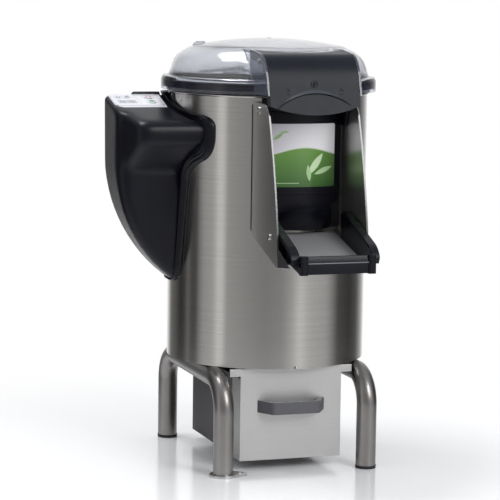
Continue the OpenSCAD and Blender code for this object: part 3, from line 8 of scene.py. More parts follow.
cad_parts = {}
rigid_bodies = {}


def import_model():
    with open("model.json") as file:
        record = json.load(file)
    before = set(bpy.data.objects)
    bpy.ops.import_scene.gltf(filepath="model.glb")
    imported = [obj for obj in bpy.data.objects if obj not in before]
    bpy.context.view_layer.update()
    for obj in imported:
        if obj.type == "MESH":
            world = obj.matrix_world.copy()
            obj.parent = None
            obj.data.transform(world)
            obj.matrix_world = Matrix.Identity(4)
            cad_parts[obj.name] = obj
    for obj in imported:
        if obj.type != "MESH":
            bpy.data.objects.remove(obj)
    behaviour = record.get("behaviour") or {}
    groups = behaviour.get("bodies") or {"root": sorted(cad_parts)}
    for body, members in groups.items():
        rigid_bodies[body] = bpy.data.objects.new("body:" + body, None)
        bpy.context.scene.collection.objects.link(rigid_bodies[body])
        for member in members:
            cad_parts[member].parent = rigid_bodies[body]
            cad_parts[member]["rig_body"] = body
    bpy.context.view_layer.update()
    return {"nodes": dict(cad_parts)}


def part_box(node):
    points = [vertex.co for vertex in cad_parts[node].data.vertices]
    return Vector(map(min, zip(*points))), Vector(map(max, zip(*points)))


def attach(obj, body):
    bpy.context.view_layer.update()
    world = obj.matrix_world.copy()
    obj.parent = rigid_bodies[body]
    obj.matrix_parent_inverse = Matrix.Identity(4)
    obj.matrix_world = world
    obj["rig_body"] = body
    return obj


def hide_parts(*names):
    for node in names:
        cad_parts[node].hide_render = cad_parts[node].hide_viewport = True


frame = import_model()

# The potato peeler's looks. Shapes are measured in millimetres from the foot of the drum's axis: X to the
# right, Y to the back, Z up. Materials, lights and the camera are in metres.

MM = 0.001
NODES = frame["nodes"]

# The outer radius of the drum's sheet in millimetres
DRUM = 200

low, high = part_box("drum_shell")
AXIS = (low + high) / 2 * Vector((1, 1, 0))


def at(x, y, z):
    """The point that lies x, y, z millimetres from the foot of the drum's axis, in the row frame."""
    return AXIS + Vector((x, y, z)) * MM


def on_drum(angle, out, z):
    """The point at an angle in degrees round the drum, out millimetres from its axis."""
    return at(out * math.cos(math.radians(angle)), out * math.sin(math.radians(angle)), z)


def box_mm(node):
    """A CAD node's lowest and highest corner in millimetres from the foot of the drum's axis."""
    low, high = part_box(node)
    return (low - AXIS) / MM, (high - AXIS) / MM


def progress(value, start, end):
    """0 up to start, 1 from end on, and even between them."""
    return min(1.0, max(0.0, (value - start) / (end - start)))


def nearness(value, target, reach):
    """1 at the target, falling evenly to 0 at a reach to either side."""
    return max(0.0, 1 - abs(value - target) / reach)


# ---------------- materials


class NodeTree:
    """A node tree while it is put together. A value is a number, a colour or another node's socket."""

    def __init__(self, tree):
        self.tree = tree

    def add(self, kind, inputs=None, **settings):
        """A new node. kind is its type without the ShaderNode before it."""
        node = self.tree.nodes.new("ShaderNode" + kind)
        for key, value in settings.items():
            setattr(node, key, value)
        for key, value in (inputs or {}).items():
            self.set(node.inputs[key], value)
        return node

    def set(self, socket, value):
        if isinstance(value, bpy.types.NodeSocket):
            self.tree.links.new(value, socket)
        elif isinstance(value, (tuple, list)) and len(value) == 3 and socket.type == "RGBA":
            socket.default_value = (*value, 1)
        else:
            socket.default_value = value

    def math(self, operation, a, b=0.0, clamp=False):
        return self.add("Math", {0: a, 1: b}, operation=operation, use_clamp=clamp).outputs[0]

    def plus(self, a, b):
        return self.math("ADD", a, b)

    def minus(self, a, b, clamp=False):
        return self.math("SUBTRACT", a, b, clamp)

    def times(self, a, b, clamp=False):
        return self.math("MULTIPLY", a, b, clamp)

    def varied(self, start, amount, pattern):
        """A number that grows from start by up to amount where the pattern is strong."""
        return self.plus(self.times(pattern, amount), start)

    def vector(self, x, y, z):
        return self.add("CombineXYZ", {0: x, 1: y, 2: z}).outputs[0]

    def split(self, vector):
        return self.add("SeparateXYZ", {0: vector}).outputs

    def distance(self, a, b):
        return self.add("VectorMath", {0: a, 1: b}, operation="DISTANCE").outputs["Value"]

    def rise(self, value, low, high, **settings):
        """0 up to low, 1 from high on, and even between them."""
        inputs = {0: value, 1: low, 2: high}
        return self.add("MapRange", inputs, clamp=True, **settings).outputs[0]

    def band(self, value, low, high, soft):
        """1 where value lies between low and high, and 0 outside, with edges that are soft wide."""
        fall = self.rise(value, high - soft, high + soft)
        return self.times(self.rise(value, low - soft, low + soft), self.minus(1.0, fall))

    def ramp(self, value, *stops):
        """A number or colour that follows value. Each stop is (place, number or colour)."""
        node = self.add("ValToRGB", {0: value})
        elements = node.color_ramp.elements
        while len(elements) < len(stops):
            elements.new(1.0)
        for element, (place, colour) in zip(elements, stops):
            element.position = place
            element.color = (*colour, 1) if isinstance(colour, tuple) else (colour, colour, colour, 1)
        return node.outputs[0]

    def mix(self, factor, a, b):
        node = self.add("Mix", data_type="RGBA")
        self.set(node.inputs["Factor"], factor)
        self.set(node.inputs["A"], a)
        self.set(node.inputs["B"], b)
        return node.outputs["Result"]


class Shader(NodeTree):
    """A node material while it is put together."""

    def __init__(self, name):
        self.material = bpy.data.materials.new(name)
        self.material.use_nodes = True
        super().__init__(self.material.node_tree)
        self.surface = self.tree.nodes["Principled BSDF"]
        self.point = self.add("TexCoord").outputs["Object"]

    def finished(self, **values):
        """The material, once its surface's inputs have their values: base_color sets Base Color."""
        for key, value in values.items():
            self.set(self.surface.inputs[key.replace("_", " ").title().replace("Ior", "IOR")], value)
        return self.material

    def stretched(self, sx, sy, sz, point=None):
        """The place, scaled by a factor along each axis, for a texture that runs along one of them."""
        inputs = {0: point or self.point, 1: (sx, sy, sz)}
        return self.add("VectorMath", inputs, operation="MULTIPLY").outputs[0]

    def noise(self, scale, detail=2.0, roughness=0.5, point=None):
        inputs = {"Vector": point or self.point, "Scale": scale, "Detail": detail, "Roughness": roughness}
        return self.add("TexNoise", inputs).outputs[0]

    def grains(self, scale):
        inputs = {"Vector": self.point, "Scale": scale, "Randomness": 1.0}
        return self.add("TexVoronoi", inputs).outputs

    def bump(self, height, strength, depth_mm=0.2):
        inputs = {"Height": height, "Strength": strength, "Distance": depth_mm * MM}
        return self.add("Bump", inputs).outputs[0]

    def shares(self, node, axes):
        """How far the place lies along a CAD node's box, from 0 to 1, on each of the named axes."""
        low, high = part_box(node)
        place = self.split(self.point)
        ways = ["xyz".index(axis) for axis in axes]
        return [self.math("DIVIDE", self.minus(place[i], low[i]), high[i] - low[i]) for i in ways]

    def from_axis(self, centre):
        """How far the place lies from an upright line through a point."""
        x, y, _ = self.split(self.point)
        return self.distance(self.vector(x, y, 0.0), (centre.x, centre.y, 0.0))

    def spot(self, centre, radius_mm):
        """1 inside a round spot on a sloping face and 0 outside it. centre is a point of the row frame."""
        return self.band(self.distance(self.point, tuple(centre)), -1.0, radius_mm * MM, 0.12 * MM)


def scaled(tone, factor):
    return tuple(min(1.0, c * factor) for c in tone)


# The grain's direction on a flat sheet, a little off its axis so that it is square to no face
GRAIN_WAY = {"X": (1.0, 0.3, 0.1), "Y": (0.1, 1.0, 0.05), "Z": (0.05, 0.1, 1.0)}

# How often a hair line and a streak of brushed sheet repeat in a metre, along the grain and across it
HAIR = (14, 2600)
STREAK = (2.5, 420)


def brushed(name, tone, along, roughness=0.3, anisotropic=0.6, grain=1.0, streaks=1.0, cut_edge=None,
            metallic=1.0):
    """Brushed stainless sheet. along is X, Y or Z, or DRUM where the grain runs round the drum.

    cut_edge is the tone of the faces that look straight to the front, where they are a sheet's cut edge.
    """
    s = Shader(name)
    if along == "DRUM":
        x, y, z = s.split(s.point)
        around = s.math("ARCTAN2", s.minus(y, AXIS.y), s.minus(x, AXIS.x))
        place = s.vector(s.times(around, DRUM * MM), 0.0, z)
        fine, coarse = (s.stretched(with_grain, 1, across, place) for with_grain, across in (HAIR, STREAK))
        tangent = s.add("Tangent", direction_type="RADIAL", axis="Z").outputs[0]
    else:
        fine, coarse = (s.stretched(*(with_grain if axis == along else across for axis in "XYZ"))
                        for with_grain, across in (HAIR, STREAK))
        tangent = s.vector(*GRAIN_WAY[along])
    hair = s.noise(1.0, 3, 0.6, fine)
    streak = s.noise(1.0, 2, 0.5, coarse)
    cloud = s.noise(9.0, 3, 0.6)
    base = s.mix(s.ramp(streak, (0.25, 0.0), (0.75, 1.0)), scaled(tone, 1 - 0.07 * streaks),
                 scaled(tone, 1 + 0.05 * streaks))
    base = s.mix(s.ramp(cloud, (0.35, 0.0), (0.75, 0.16)), base, scaled(tone, 0.82))
    if cut_edge:
        normal = s.add("NewGeometry").outputs["Normal"]
        base = s.mix(s.band(s.split(normal)[1], -2.0, -0.85, 0.1), base, cut_edge)
    rough = s.plus(s.varied(roughness - 0.06, 0.16 * grain, hair), s.times(cloud, 0.05))
    return s.finished(base_color=base, metallic=metallic, roughness=rough, anisotropic=anisotropic,
                      anisotropic_rotation=0.25, tangent=tangent, normal=s.bump(hair, 0.10 * grain))


def satin_tube(name, tone):
    """Stainless tube with a fine satin finish, fingermarks and a little dust low down."""
    s = Shader(name)
    grain = s.noise(900.0, 2, 0.5)
    smear = s.noise(16.0, 4, 0.65)
    near_floor = s.ramp(s.split(s.point)[2], (0.0, 1.0), (0.05, 0.0))
    base = s.mix(s.ramp(smear, (0.35, 0.0), (0.7, 0.35)), tone, scaled(tone, 0.84))
    base = s.mix(s.times(near_floor, 0.4), base, (0.42, 0.41, 0.39))
    return s.finished(base_color=base, metallic=1.0, roughness=s.varied(0.24, 0.14, smear),
                      normal=s.bump(grain, 0.06))


def turned(name, tone, roughness=0.25):
    """Machined metal with fine turning marks."""
    s = Shader(name)
    marks = s.noise(1.0, 2, 0.5, s.stretched(300, 300, 3200))
    stain = s.noise(40.0, 3, 0.6)
    base = s.mix(s.ramp(stain, (0.4, 0.0), (0.8, 0.4)), tone, scaled(tone, 0.7))
    return s.finished(base_color=base, metallic=1.0, roughness=s.varied(roughness - 0.05, 0.15, marks),
                      normal=s.bump(marks, 0.15))


def moulded(name, tone, roughness=0.42, grain=0.25, specular=0.5):
    """Moulded plastic with a spark-eroded grain, faint flow marks and dust in its pores."""
    s = Shader(name)
    pores = s.grains(1500.0)[0]
    flow = s.noise(7.0, 4, 0.6, s.stretched(1, 1, 0.45))
    rub = s.noise(42.0, 5, 0.7)
    lighter = tuple(c * 1.4 + 0.001 for c in tone)
    base = s.mix(s.ramp(flow, (0.35, 0.0), (0.75, 0.55)), tone, lighter)
    base = s.mix(s.ramp(rub, (0.55, 0.0), (0.85, 0.10)), base, tuple(c + 0.02 for c in tone))
    return s.finished(base_color=base, roughness=s.varied(roughness - 0.07, 0.14, rub),
                      specular_ior_level=specular, normal=s.bump(pores, grain))


def clear_plastic(name, tint, roughness=0.05, clarity=0.94, specular=0.5, dark=None, stops=()):
    """Clear polycarbonate with a haze of fine scratches.

    dark is a deeper tone of painted shade, and stops say how strong it is at shares of the lid's height.
    """
    s = Shader(name)
    if dark:
        # Painted shade: the tint darkens towards dark at the lid's heights that stops give
        height, = s.shares("lid_dome", "z")
        tint = s.mix(s.ramp(height, *stops), tint, dark)
    scuff = s.noise(420.0, 5, 0.75)
    haze = s.ramp(s.noise(14.0, 4, 0.6), (0.4, 0.0), (0.9, 1.0))
    return s.finished(base_color=tint, roughness=s.varied(roughness, 0.08, haze), ior=1.5,
                      transmission_weight=clarity, specular_ior_level=specular,
                      normal=s.bump(scuff, 0.02))


def rubber(name, tone=(0.018, 0.018, 0.02), dusty=(0.09, 0.088, 0.085)):
    s = Shader(name)
    grain = s.noise(700.0, 3, 0.6)
    dust = s.noise(60.0, 5, 0.7)
    base = s.mix(s.ramp(dust, (0.5, 0.0), (0.9, 0.3)), tone, dusty)
    return s.finished(base_color=base, roughness=s.varied(0.62, 0.2, dust),
                      normal=s.bump(grain, 0.3, 0.3))


def seal_ribs(name):
    """The lid seal's rubber, whose rib tops are painted paler than the hollows between them: a painted
    highlight on each rib.
    """
    s = Shader(name)
    seal_out = box_mm("lid_seal")[1].x
    # The rib tops' paler tone is a painted highlight
    rib = s.rise(s.from_axis(AXIS), (seal_out - 1.6) * MM, (seal_out - 0.3) * MM)
    dust = s.noise(60.0, 5, 0.7)
    return s.finished(base_color=s.mix(rib, (0.004, 0.004, 0.007), (0.26, 0.26, 0.31)),
                      roughness=s.varied(0.45, 0.2, dust), specular_ior_level=0.1)


def grit(name):
    """Coarse silicon carbide grains in a dark bond."""
    s = Shader(name)
    cells = s.grains(480.0)
    sparkle = s.ramp(s.split(cells["Color"])[0], (0.0, (0.05, 0.045, 0.04)), (0.6, (0.16, 0.14, 0.12)),
                     (0.97, (0.42, 0.40, 0.38)))
    wear = s.noise(18.0, 4, 0.6)
    base = s.mix(s.ramp(wear, (0.4, 0.0), (0.8, 0.5)), sparkle, (0.24, 0.21, 0.18))
    return s.finished(base_color=base, roughness=0.75, normal=s.bump(cells["Distance"], 0.9, 1.2))


def enamel(name, tone):
    """Sprayed machine paint with a little orange peel."""
    s = Shader(name)
    peel = s.noise(260.0, 2, 0.5)
    grime = s.noise(24.0, 5, 0.7)
    base = s.mix(s.ramp(grime, (0.5, 0.0), (0.85, 0.5)), tone, scaled(tone, 0.45))
    return s.finished(base_color=base, roughness=0.36, normal=s.bump(peel, 0.2, 0.4))


def circuit(name):
    """A green board with tracks in its solder mask."""
    s = Shader(name)
    tracks = s.add("TexBrick", {"Vector": s.point, "Scale": 160.0, "Mortar Size": 0.02}).outputs[1]
    return s.finished(base_color=s.mix(tracks, (0.02, 0.16, 0.06), (0.10, 0.32, 0.13)), roughness=0.3)


# The panel's keys: the node, the material's name, the colour of the printed mark and whether it is a ring
KEYS = (("start_button", "start_key", (0.05, 0.30, 0.10), False),
        ("stop_button", "stop_key", (0.42, 0.04, 0.04), True),
        ("more_time_button", "more_key", (0.10, 0.11, 0.13), False),
        ("less_time_button", "less_key", (0.10, 0.11, 0.13), True))


def key_top(key):
    """The middle of a key's top, and half the key's width in millimetres."""
    low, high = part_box(key)
    top = Vector(((low.x + high.x) / 2, (low.y + high.y) / 2, high.z))
    return top, (high.x - low.x) / 2 / MM


def panel_film(name):
    """The pale glossy film on the sloping panel, with a fine whiter field and rings round its keys."""
    s = Shader(name)
    across, along = s.shares("control_panel", "xy")
    field = s.times(s.band(across, 0.56, 0.95, 0.004), s.band(along, 0.08, 0.92, 0.004))
    speck = s.noise(500.0, 2, 0.5)
    sheen = s.noise(22.0, 3, 0.6)
    base = s.mix(s.times(field, 0.7), (0.70, 0.71, 0.75), (0.80, 0.81, 0.85))
    for key, *_ in KEYS:
        top, reach = key_top(key)
        ring = s.minus(s.spot(top, reach + 4.2), s.spot(top, reach + 2.8))
        base = s.mix(s.times(ring, 0.45, clamp=True), base, (0.28, 0.30, 0.35))
    base = s.mix(s.ramp(speck, (0.4, 0.0), (0.8, 0.12)), base, (0.95, 0.96, 0.98))
    return s.finished(base_color=base, roughness=s.varied(0.12, 0.16, sheen), coat_weight=0.5,
                      coat_roughness=0.05)


def key_plastic(name, key, mark, ring):
    """A pale key with a small coloured mark: a dot, or a ring where ring is true."""
    s = Shader(name)
    wear = s.noise(120.0, 4, 0.6)
    top, reach = key_top(key)
    printed = s.spot(top, 0.52 * reach + 1.5)
    if ring:
        printed = s.minus(printed, s.spot(top, 0.28 * reach + 1.5), clamp=True)
    base = s.mix(s.ramp(wear, (0.5, 0.0), (0.9, 0.35)), (0.70, 0.71, 0.75), (0.58, 0.59, 0.62))
    return s.finished(base_color=s.mix(printed, base, mark), roughness=0.26, coat_weight=0.3)


def display_glass(name):
    """A grey glass with the segments of two figures behind it, told apart by a faint tone."""
    s = Shader(name)
    across, up = s.shares("timer_display", "xy")
    place = s.math("FRACT", s.times(across, 2.0))
    inside = s.band(place, 0.24, 0.76, 0.015)
    upright = s.times(s.minus(inside, s.band(place, 0.34, 0.66, 0.015)), s.band(up, 0.16, 0.84, 0.02))
    low_bar, middle_bar, high_bar = (s.band(up, foot, foot + 0.10, 0.02) for foot in (0.16, 0.45, 0.74))
    bars = s.times(inside, s.plus(low_bar, s.plus(middle_bar, high_bar)))
    figures = s.math("MAXIMUM", upright, bars, clamp=True)
    glass = s.mix(s.noise(80.0, 2, 0.5), (0.42, 0.44, 0.46), (0.48, 0.50, 0.52))
    return s.finished(base_color=s.mix(s.times(figures, 0.8), glass, (0.15, 0.155, 0.165)), roughness=0.08,
                      coat_weight=0.6, coat_roughness=0.03)


def leaf(s, across, up, centre, angle, length, width):
    """A slender leaf on a face whose places run from 0 to 1. It is 1 inside the leaf and 0 outside."""
    cos, sin = math.cos(math.radians(angle)), math.sin(math.radians(angle))
    x = s.minus(across, centre[0])
    y = s.minus(up, centre[1])
    along = s.plus(s.times(x, cos), s.times(y, sin))
    aside = s.minus(s.times(y, cos), s.times(x, sin))
    share = s.math("DIVIDE", along, length)
    half = s.times(s.minus(1.0, s.times(share, share)), width)
    return s.band(s.minus(half, s.math("ABSOLUTE", aside)), 0.0, 9.0, 0.004)


# The label's leaves, in shares of its width and height: middle, angle, half length, half width and tone
LEAVES = (((0.70, 0.36), 58, 0.20, 0.052, (0.62, 0.80, 0.50)),
          ((0.82, 0.26), 24, 0.15, 0.040, (0.50, 0.72, 0.38)),
          ((0.60, 0.22), 96, 0.13, 0.034, (0.42, 0.64, 0.30)),
          ((0.16, 0.80), 40, 0.09, 0.026, (0.32, 0.50, 0.24)),
          ((0.24, 0.87), 8, 0.07, 0.020, (0.40, 0.58, 0.30)))


def label_print(name):
    """The door's printed film: pearl grey over fresh green, parted by a rising curve, with pale leaves."""
    s = Shader(name)
    across, up = s.shares("door_label", "xz")
    wave = s.times(s.math("SINE", s.times(s.plus(across, -0.18), 4.4)), 0.075)
    over = s.minus(up, s.plus(wave, 0.55))
    grey = s.mix(across, (0.62, 0.61, 0.66), (0.99, 0.98, 1.0))
    green = s.mix(s.ramp(up, (0.0, 0.0), (0.6, 1.0)), (0.045, 0.135, 0.027), (0.135, 0.30, 0.058))
    base = s.mix(s.rise(over, -0.006, 0.006), green, grey)
    base = s.mix(s.times(s.band(over, -0.012, 0.012, 0.006), 0.7), base, (0.75, 0.80, 0.70))
    for centre, angle, length, width, tone in LEAVES:
        base = s.mix(leaf(s, across, up, centre, angle, length, width), base, tone)
    stripe = s.times(s.band(up, 0.055, 0.068, 0.003), s.band(across, 0.08, 0.46, 0.003))
    base = s.mix(s.times(stripe, 0.6), base, (0.60, 0.78, 0.48))
    film = s.noise(900.0, 2, 0.5)
    return s.finished(base_color=base, roughness=s.varied(0.20, 0.06, film), coat_weight=0.5,
                      coat_roughness=0.08)


# ---------------- mesh tools


def placed(name, data):
    """A new object of the scene that holds a mesh, a curve, a light or a camera."""
    holder = bpy.data.objects.new(name, data)
    bpy.context.scene.collection.objects.link(holder)
    return holder


def new_object(name, mesh, material, body):
    piece = placed(name, mesh)
    mesh.materials.clear()
    mesh.materials.append(material)
    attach(piece, body)
    return piece


def shade(mesh, angle=35):
    mesh.shade_smooth()
    mesh.set_sharp_from_angle(angle=math.radians(angle))


def mesh_from(bm, name, angle=None):
    """The mesh of a bmesh, which is used up. It is smooth over edges below the angle, if there is one."""
    mesh = bpy.data.meshes.new(name)
    bm.to_mesh(mesh)
    bm.free()
    if angle:
        shade(mesh, angle)
    return mesh


def skin(name, rows, material, body="machine", closed=False, looped=False, capped=False, bevel_mm=0,
         angle=35):
    """A piece whose skin runs over rows of points, each row joined to the next.

    closed joins each row's end to its start, looped joins the last row to the first, and capped fills the
    first row and the last.
    """
    bm = bmesh.new()
    rows = [[bm.verts.new(point) for point in row] for row in rows]
    count = len(rows[0])
    for one, other in zip(rows, rows[1:] + (rows[:1] if looped else [])):
        for i in range(count if closed else count - 1):
            j = (i + 1) % count
            bm.faces.new((one[i], one[j], other[j], other[i]))
    if capped:
        bm.faces.new(reversed(rows[0]))
        bm.faces.new(rows[-1])
    if bevel_mm:
        bmesh.ops.bevel(bm, geom=bm.edges, offset=bevel_mm * MM, segments=2, affect="EDGES")
    bmesh.ops.recalc_face_normals(bm, faces=bm.faces)
    return new_object(name, mesh_from(bm, name, angle), material, body)


def modified(piece, kind, **settings):
    """Adds a modifier to a piece."""
    modifier = piece.modifiers.new(kind.lower(), kind)
    for key, value in settings.items():
        setattr(modifier, key, value)


def applied(piece):
    """Applies every modifier of a piece."""
    depsgraph = bpy.context.evaluated_depsgraph_get()
    mesh = bpy.data.meshes.new_from_object(piece.evaluated_get(depsgraph))
    piece.modifiers.clear()
    piece.data = mesh


def welded(node, whole=True):
    """A copy of a CAD node's mesh with shared corners and, if whole, with its flat faces whole again."""
    mesh = NODES[node].data.copy()
    mesh.attributes.remove(mesh.attributes["custom_normal"])
    bm = bmesh.new()
    bm.from_mesh(mesh)
    bmesh.ops.remove_doubles(bm, verts=bm.verts, dist=2e-6)
    if whole:
        bmesh.ops.dissolve_limit(bm, angle_limit=math.radians(0.3), verts=bm.verts, edges=bm.edges)
    bm.to_mesh(mesh)
    bm.free()
    return mesh


def softened(node, width_mm, material, segments=2, angle=32):
    """Replaces a CAD node with a copy whose sharp edges are rounded."""
    piece = new_object(node + "_soft", welded(node), material, NODES[node]["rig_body"])
    modified(piece, "BEVEL", width=width_mm * MM, segments=segments, limit_method="ANGLE",
             angle_limit=math.radians(angle), miter_outer="MITER_ARC")
    applied(piece)
    shade(piece.data)
    # Flat faces stay flat in the light: only the rounded edges blend
    modified(piece, "WEIGHTED_NORMAL", keep_sharp=True)
    applied(piece)
    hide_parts(node)


def paint(material, *nodes):
    """Gives a material to CAD nodes whose shapes are right as they are."""
    for node in nodes:
        NODES[node].data.materials.clear()
        NODES[node].data.materials.append(material)


def tube(name, points, radius_mm, material, body="machine", closed=False):
    """A round bar along points, which are in the row frame."""
    curve = bpy.data.curves.new(name, "CURVE")
    curve.dimensions = "3D"
    curve.bevel_depth = radius_mm * MM
    curve.bevel_resolution = 2
    spline = curve.splines.new("POLY")
    spline.points.add(len(points) - 1)
    for place, point in zip(spline.points, points):
        place.co = (*point, 1)
    spline.use_cyclic_u = closed
    holder = placed(name + "_path", curve)
    depsgraph = bpy.context.evaluated_depsgraph_get()
    mesh = bpy.data.meshes.new_from_object(holder.evaluated_get(depsgraph))
    bpy.data.objects.remove(holder)
    shade(mesh, 50)
    new_object(name, mesh, material, body)


# ---------------- the control box


class ControlBox:
    """The moulded control box's measures in millimetres, from its CAD node and its few own radii.

    out, front, rear, foot and top are the body's own limits, inside the flange that lies on the drum.
    The column stands behind, the nose reaches to the front above the knee, and the sweep is the long
    curve down the flank. inside and nose_inside lie within the drum, which cuts the body off.
    """

    low, high = box_mm("box_shell")
    flange = 12
    out = -low.x
    front = -low.y - flange
    rear = high.y - flange
    foot = low.z + flange
    top = high.z - 5
    inside = 80 - DRUM
    nose_inside = 100 - DRUM
    column = 57
    knee = 607
    sweep = 298
    sweep_degrees = 56
    corner = 20
    edge = 7
    nose_corner = 26
    nose_edge = 15
    slope = math.tan(math.radians(14))
    seat = DRUM + 2.5

    @classmethod
    def taper(cls, z):
        """How much narrower the column is at a height than at its top."""
        return max(0.0, cls.knee - 20 - z) * 0.11

    @classmethod
    def top_at(cls, y):
        return cls.top - (cls.rear - y) * cls.slope


def disc(bm, x, y, z, radius, edge, tilt=0.0):
    """Adds the corners of a disc with a rounded rim, which rises to the back by tilt per millimetre."""
    rim_levels, turns = 4, 32
    for level in range(-rim_levels, rim_levels + 1):
        rise = math.radians(90 * level / rim_levels)
        out = radius - edge + edge * math.cos(rise)
        for step in range(turns):
            around = 2 * math.pi * step / turns
            back = out * math.sin(around)
            bm.verts.new(at(x + out * math.cos(around), y + back, z + edge * math.sin(rise) + tilt * back))


def hull_of(name, discs, radius, edge):
    """The closed skin round a list of equal discs, each (x, y, z) or (x, y, z, tilt)."""
    bm = bmesh.new()
    for x, y, z, *tilt in discs:
        disc(bm, x, y, z, radius, edge, *tilt)
    made = bmesh.ops.convex_hull(bm, input=bm.verts)
    spare = {g for g in made["geom_interior"] + made["geom_unused"] if isinstance(g, bmesh.types.BMVert)}
    bmesh.ops.delete(bm, geom=list(spare), context="VERTS")
    return placed(name, mesh_from(bm, name))


def combined(piece, other, operation):
    """A boolean of two objects. The other one is used up."""
    modified(piece, "BOOLEAN", operation=operation, solver="EXACT", object=other)
    applied(piece)
    bpy.data.objects.remove(other)
    return piece


def panel_block(inset, below, above):
    """A block to cut with, inset from the control panel's sides and reaching below and above it."""
    panel_low, panel_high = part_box("control_panel")
    low = panel_low + Vector((inset, inset, -below)) * MM
    high = panel_high + Vector((-inset, -inset, above)) * MM
    bm = bmesh.new()
    place = Matrix.Translation((low + high) / 2) @ Matrix.Diagonal((*(high - low), 1))
    bmesh.ops.create_cube(bm, size=1.0, matrix=place)
    return placed("panel_block", mesh_from(bm, "panel_block"))


def drum_bar(radius, z0, z1):
    """An upright cylinder round the drum's axis to cut with."""
    bm = bmesh.new()
    bmesh.ops.create_cone(bm, cap_ends=True, segments=192, radius1=radius * MM, radius2=radius * MM,
                          depth=(z1 - z0) * MM, matrix=Matrix.Translation(at(0, 0, (z0 + z1) / 2)))
    return placed("drum_bar", mesh_from(bm, "drum_bar"))


def column_discs():
    """The discs whose hull is the box's column: down its flank, along its top and inside the drum."""
    c = ControlBox
    rear, col = c.rear - c.corner, c.corner - c.column
    sweep_centre = c.out - 1 - c.sweep
    discs = []
    for angle in range(0, c.sweep_degrees + 1, 4):
        z = c.knee - (c.sweep - c.edge) * math.sin(math.radians(angle))
        reach = (c.sweep - c.edge) * math.cos(math.radians(angle))
        x = c.corner - c.edge - sweep_centre - reach
        discs += [(x, rear - c.taper(z), z), (x, col + c.taper(z), z)]
    for x in (c.corner - c.out, c.inside):
        discs += [(x, y, c.top_at(y) - c.edge, c.slope) for y in (rear, col)]
    return discs + [(c.inside, y, c.foot) for y in (rear - c.taper(c.foot), col + c.taper(c.foot))]


def nose_discs():
    """The discs whose hull is the part of the box that reaches to the front."""
    c = ControlBox
    discs = []
    ends = ((20, c.nose_corner - c.front, c.knee + 33), (6, c.corner - c.column, c.knee - 20))
    for inset, y, foot in ends:
        for x in (c.nose_corner - c.out + inset, c.nose_inside):
            discs += [(x, y, c.top_at(y) + 0.5 - c.nose_edge, c.slope), (x, y, foot + c.nose_edge)]
    return discs


def flow_weight(place):
    """How strongly the box's skin is smoothed at a place: most under the nose, less at its brow."""
    c = ControlBox
    under = nearness(place.z, c.knee + 12, 75)
    brow = nearness(place.z, c.top_at(place.y), 26)
    return min(1.0, 1.6 * max(under, 0.45 * brow) * progress(-place.y, 22, 47))


def box_body():
    """The box's body, one flowing skin over its column and its nose."""
    c = ControlBox
    body = combined(hull_of("box_body", column_discs(), c.corner, c.edge),
                    hull_of("box_nose", nose_discs(), c.nose_corner, c.nose_edge), "UNION")
    body = combined(body, drum_bar(c.seat, c.low.z - 60, c.high.z + 20), "DIFFERENCE")
    modified(body, "REMESH", mode="VOXEL", voxel_size=1.9 * MM)
    applied(body)
    flow = body.vertex_groups.new(name="flow")
    for v in body.data.vertices:
        weight = flow_weight((v.co - AXIS) / MM)
        if weight > 0:
            flow.add([v.index], weight, "REPLACE")
    modified(body, "SMOOTH", factor=0.7, iterations=220, vertex_group="flow")
    modified(body, "SMOOTH", factor=0.5, iterations=14)
    applied(body)
    combined(body, panel_block(4, 12, 20), "DIFFERENCE")
    shade(body.data, 40)
    body.data.materials.clear()
    body.data.materials.append(black_plastic)
    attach(body, "machine")
    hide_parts("box_shell")


def outline_curve(a, b, c, steps):
    return [Vector(a) * (1 - t) ** 2 + Vector(b) * 2 * t * (1 - t) + Vector(c) * t * t
            for t in (i / steps for i in range(steps + 1))]


def outline_arc(centre, radius, start, end, steps):
    return [Vector(centre) + radius * Vector((math.cos(a), math.sin(a)))
            for a in (math.radians(start + (end - start) * i / steps) for i in range(steps + 1))]


def box_outline(grow):
    """The box's outline on the drum as (y, z) in millimetres, grown by a distance.

    It goes from the top's rear corner down the column's back, round its foot, up its front, out under the
    nose, up over the brow and back along the sloping top.
    """
    c = ControlBox
    back, foot, narrow, turn = c.rear + grow, c.foot - grow, c.taper(c.foot), 24 + grow
    column, front, knee = -c.column - grow, -c.front - grow, c.knee - grow
    brow_top = c.top_at(-c.column) + 0.4 * grow
    head = [(back - 12, c.top + 4 + 0.25 * grow), (back - 3, c.top + 2 + 0.1 * grow), (back, c.top - 12)]
    heel = outline_arc((back - narrow - turn, foot + turn), turn, 0, -90, 14)
    toe = outline_arc((column + narrow + turn, foot + turn), turn, -90, -178, 14)
    bend_in = outline_curve((column, knee - 35 + 0.5 * grow), (column - 3, knee - 4),
                            (front + 30, knee + 13), 16)
    bend_out = outline_curve((front + 20, knee + 18), (front, knee + 31), (front, c.knee + 56), 16)
    brow = outline_curve((front, brow_top - 30), (front, brow_top - 10 + 0.4 * grow),
                         (28 - c.front, brow_top - 5), 16)
    end = [(14 - c.column, brow_top + 4), (-14, c.top_at(-14) + 2 + 0.4 * grow),
           (6, c.top_at(6) + 4 + 0.4 * grow), (22, c.top + 0.3 * grow)]
    return [Vector(p) for p in head + heel + toe + bend_in + bend_out + brow + end]


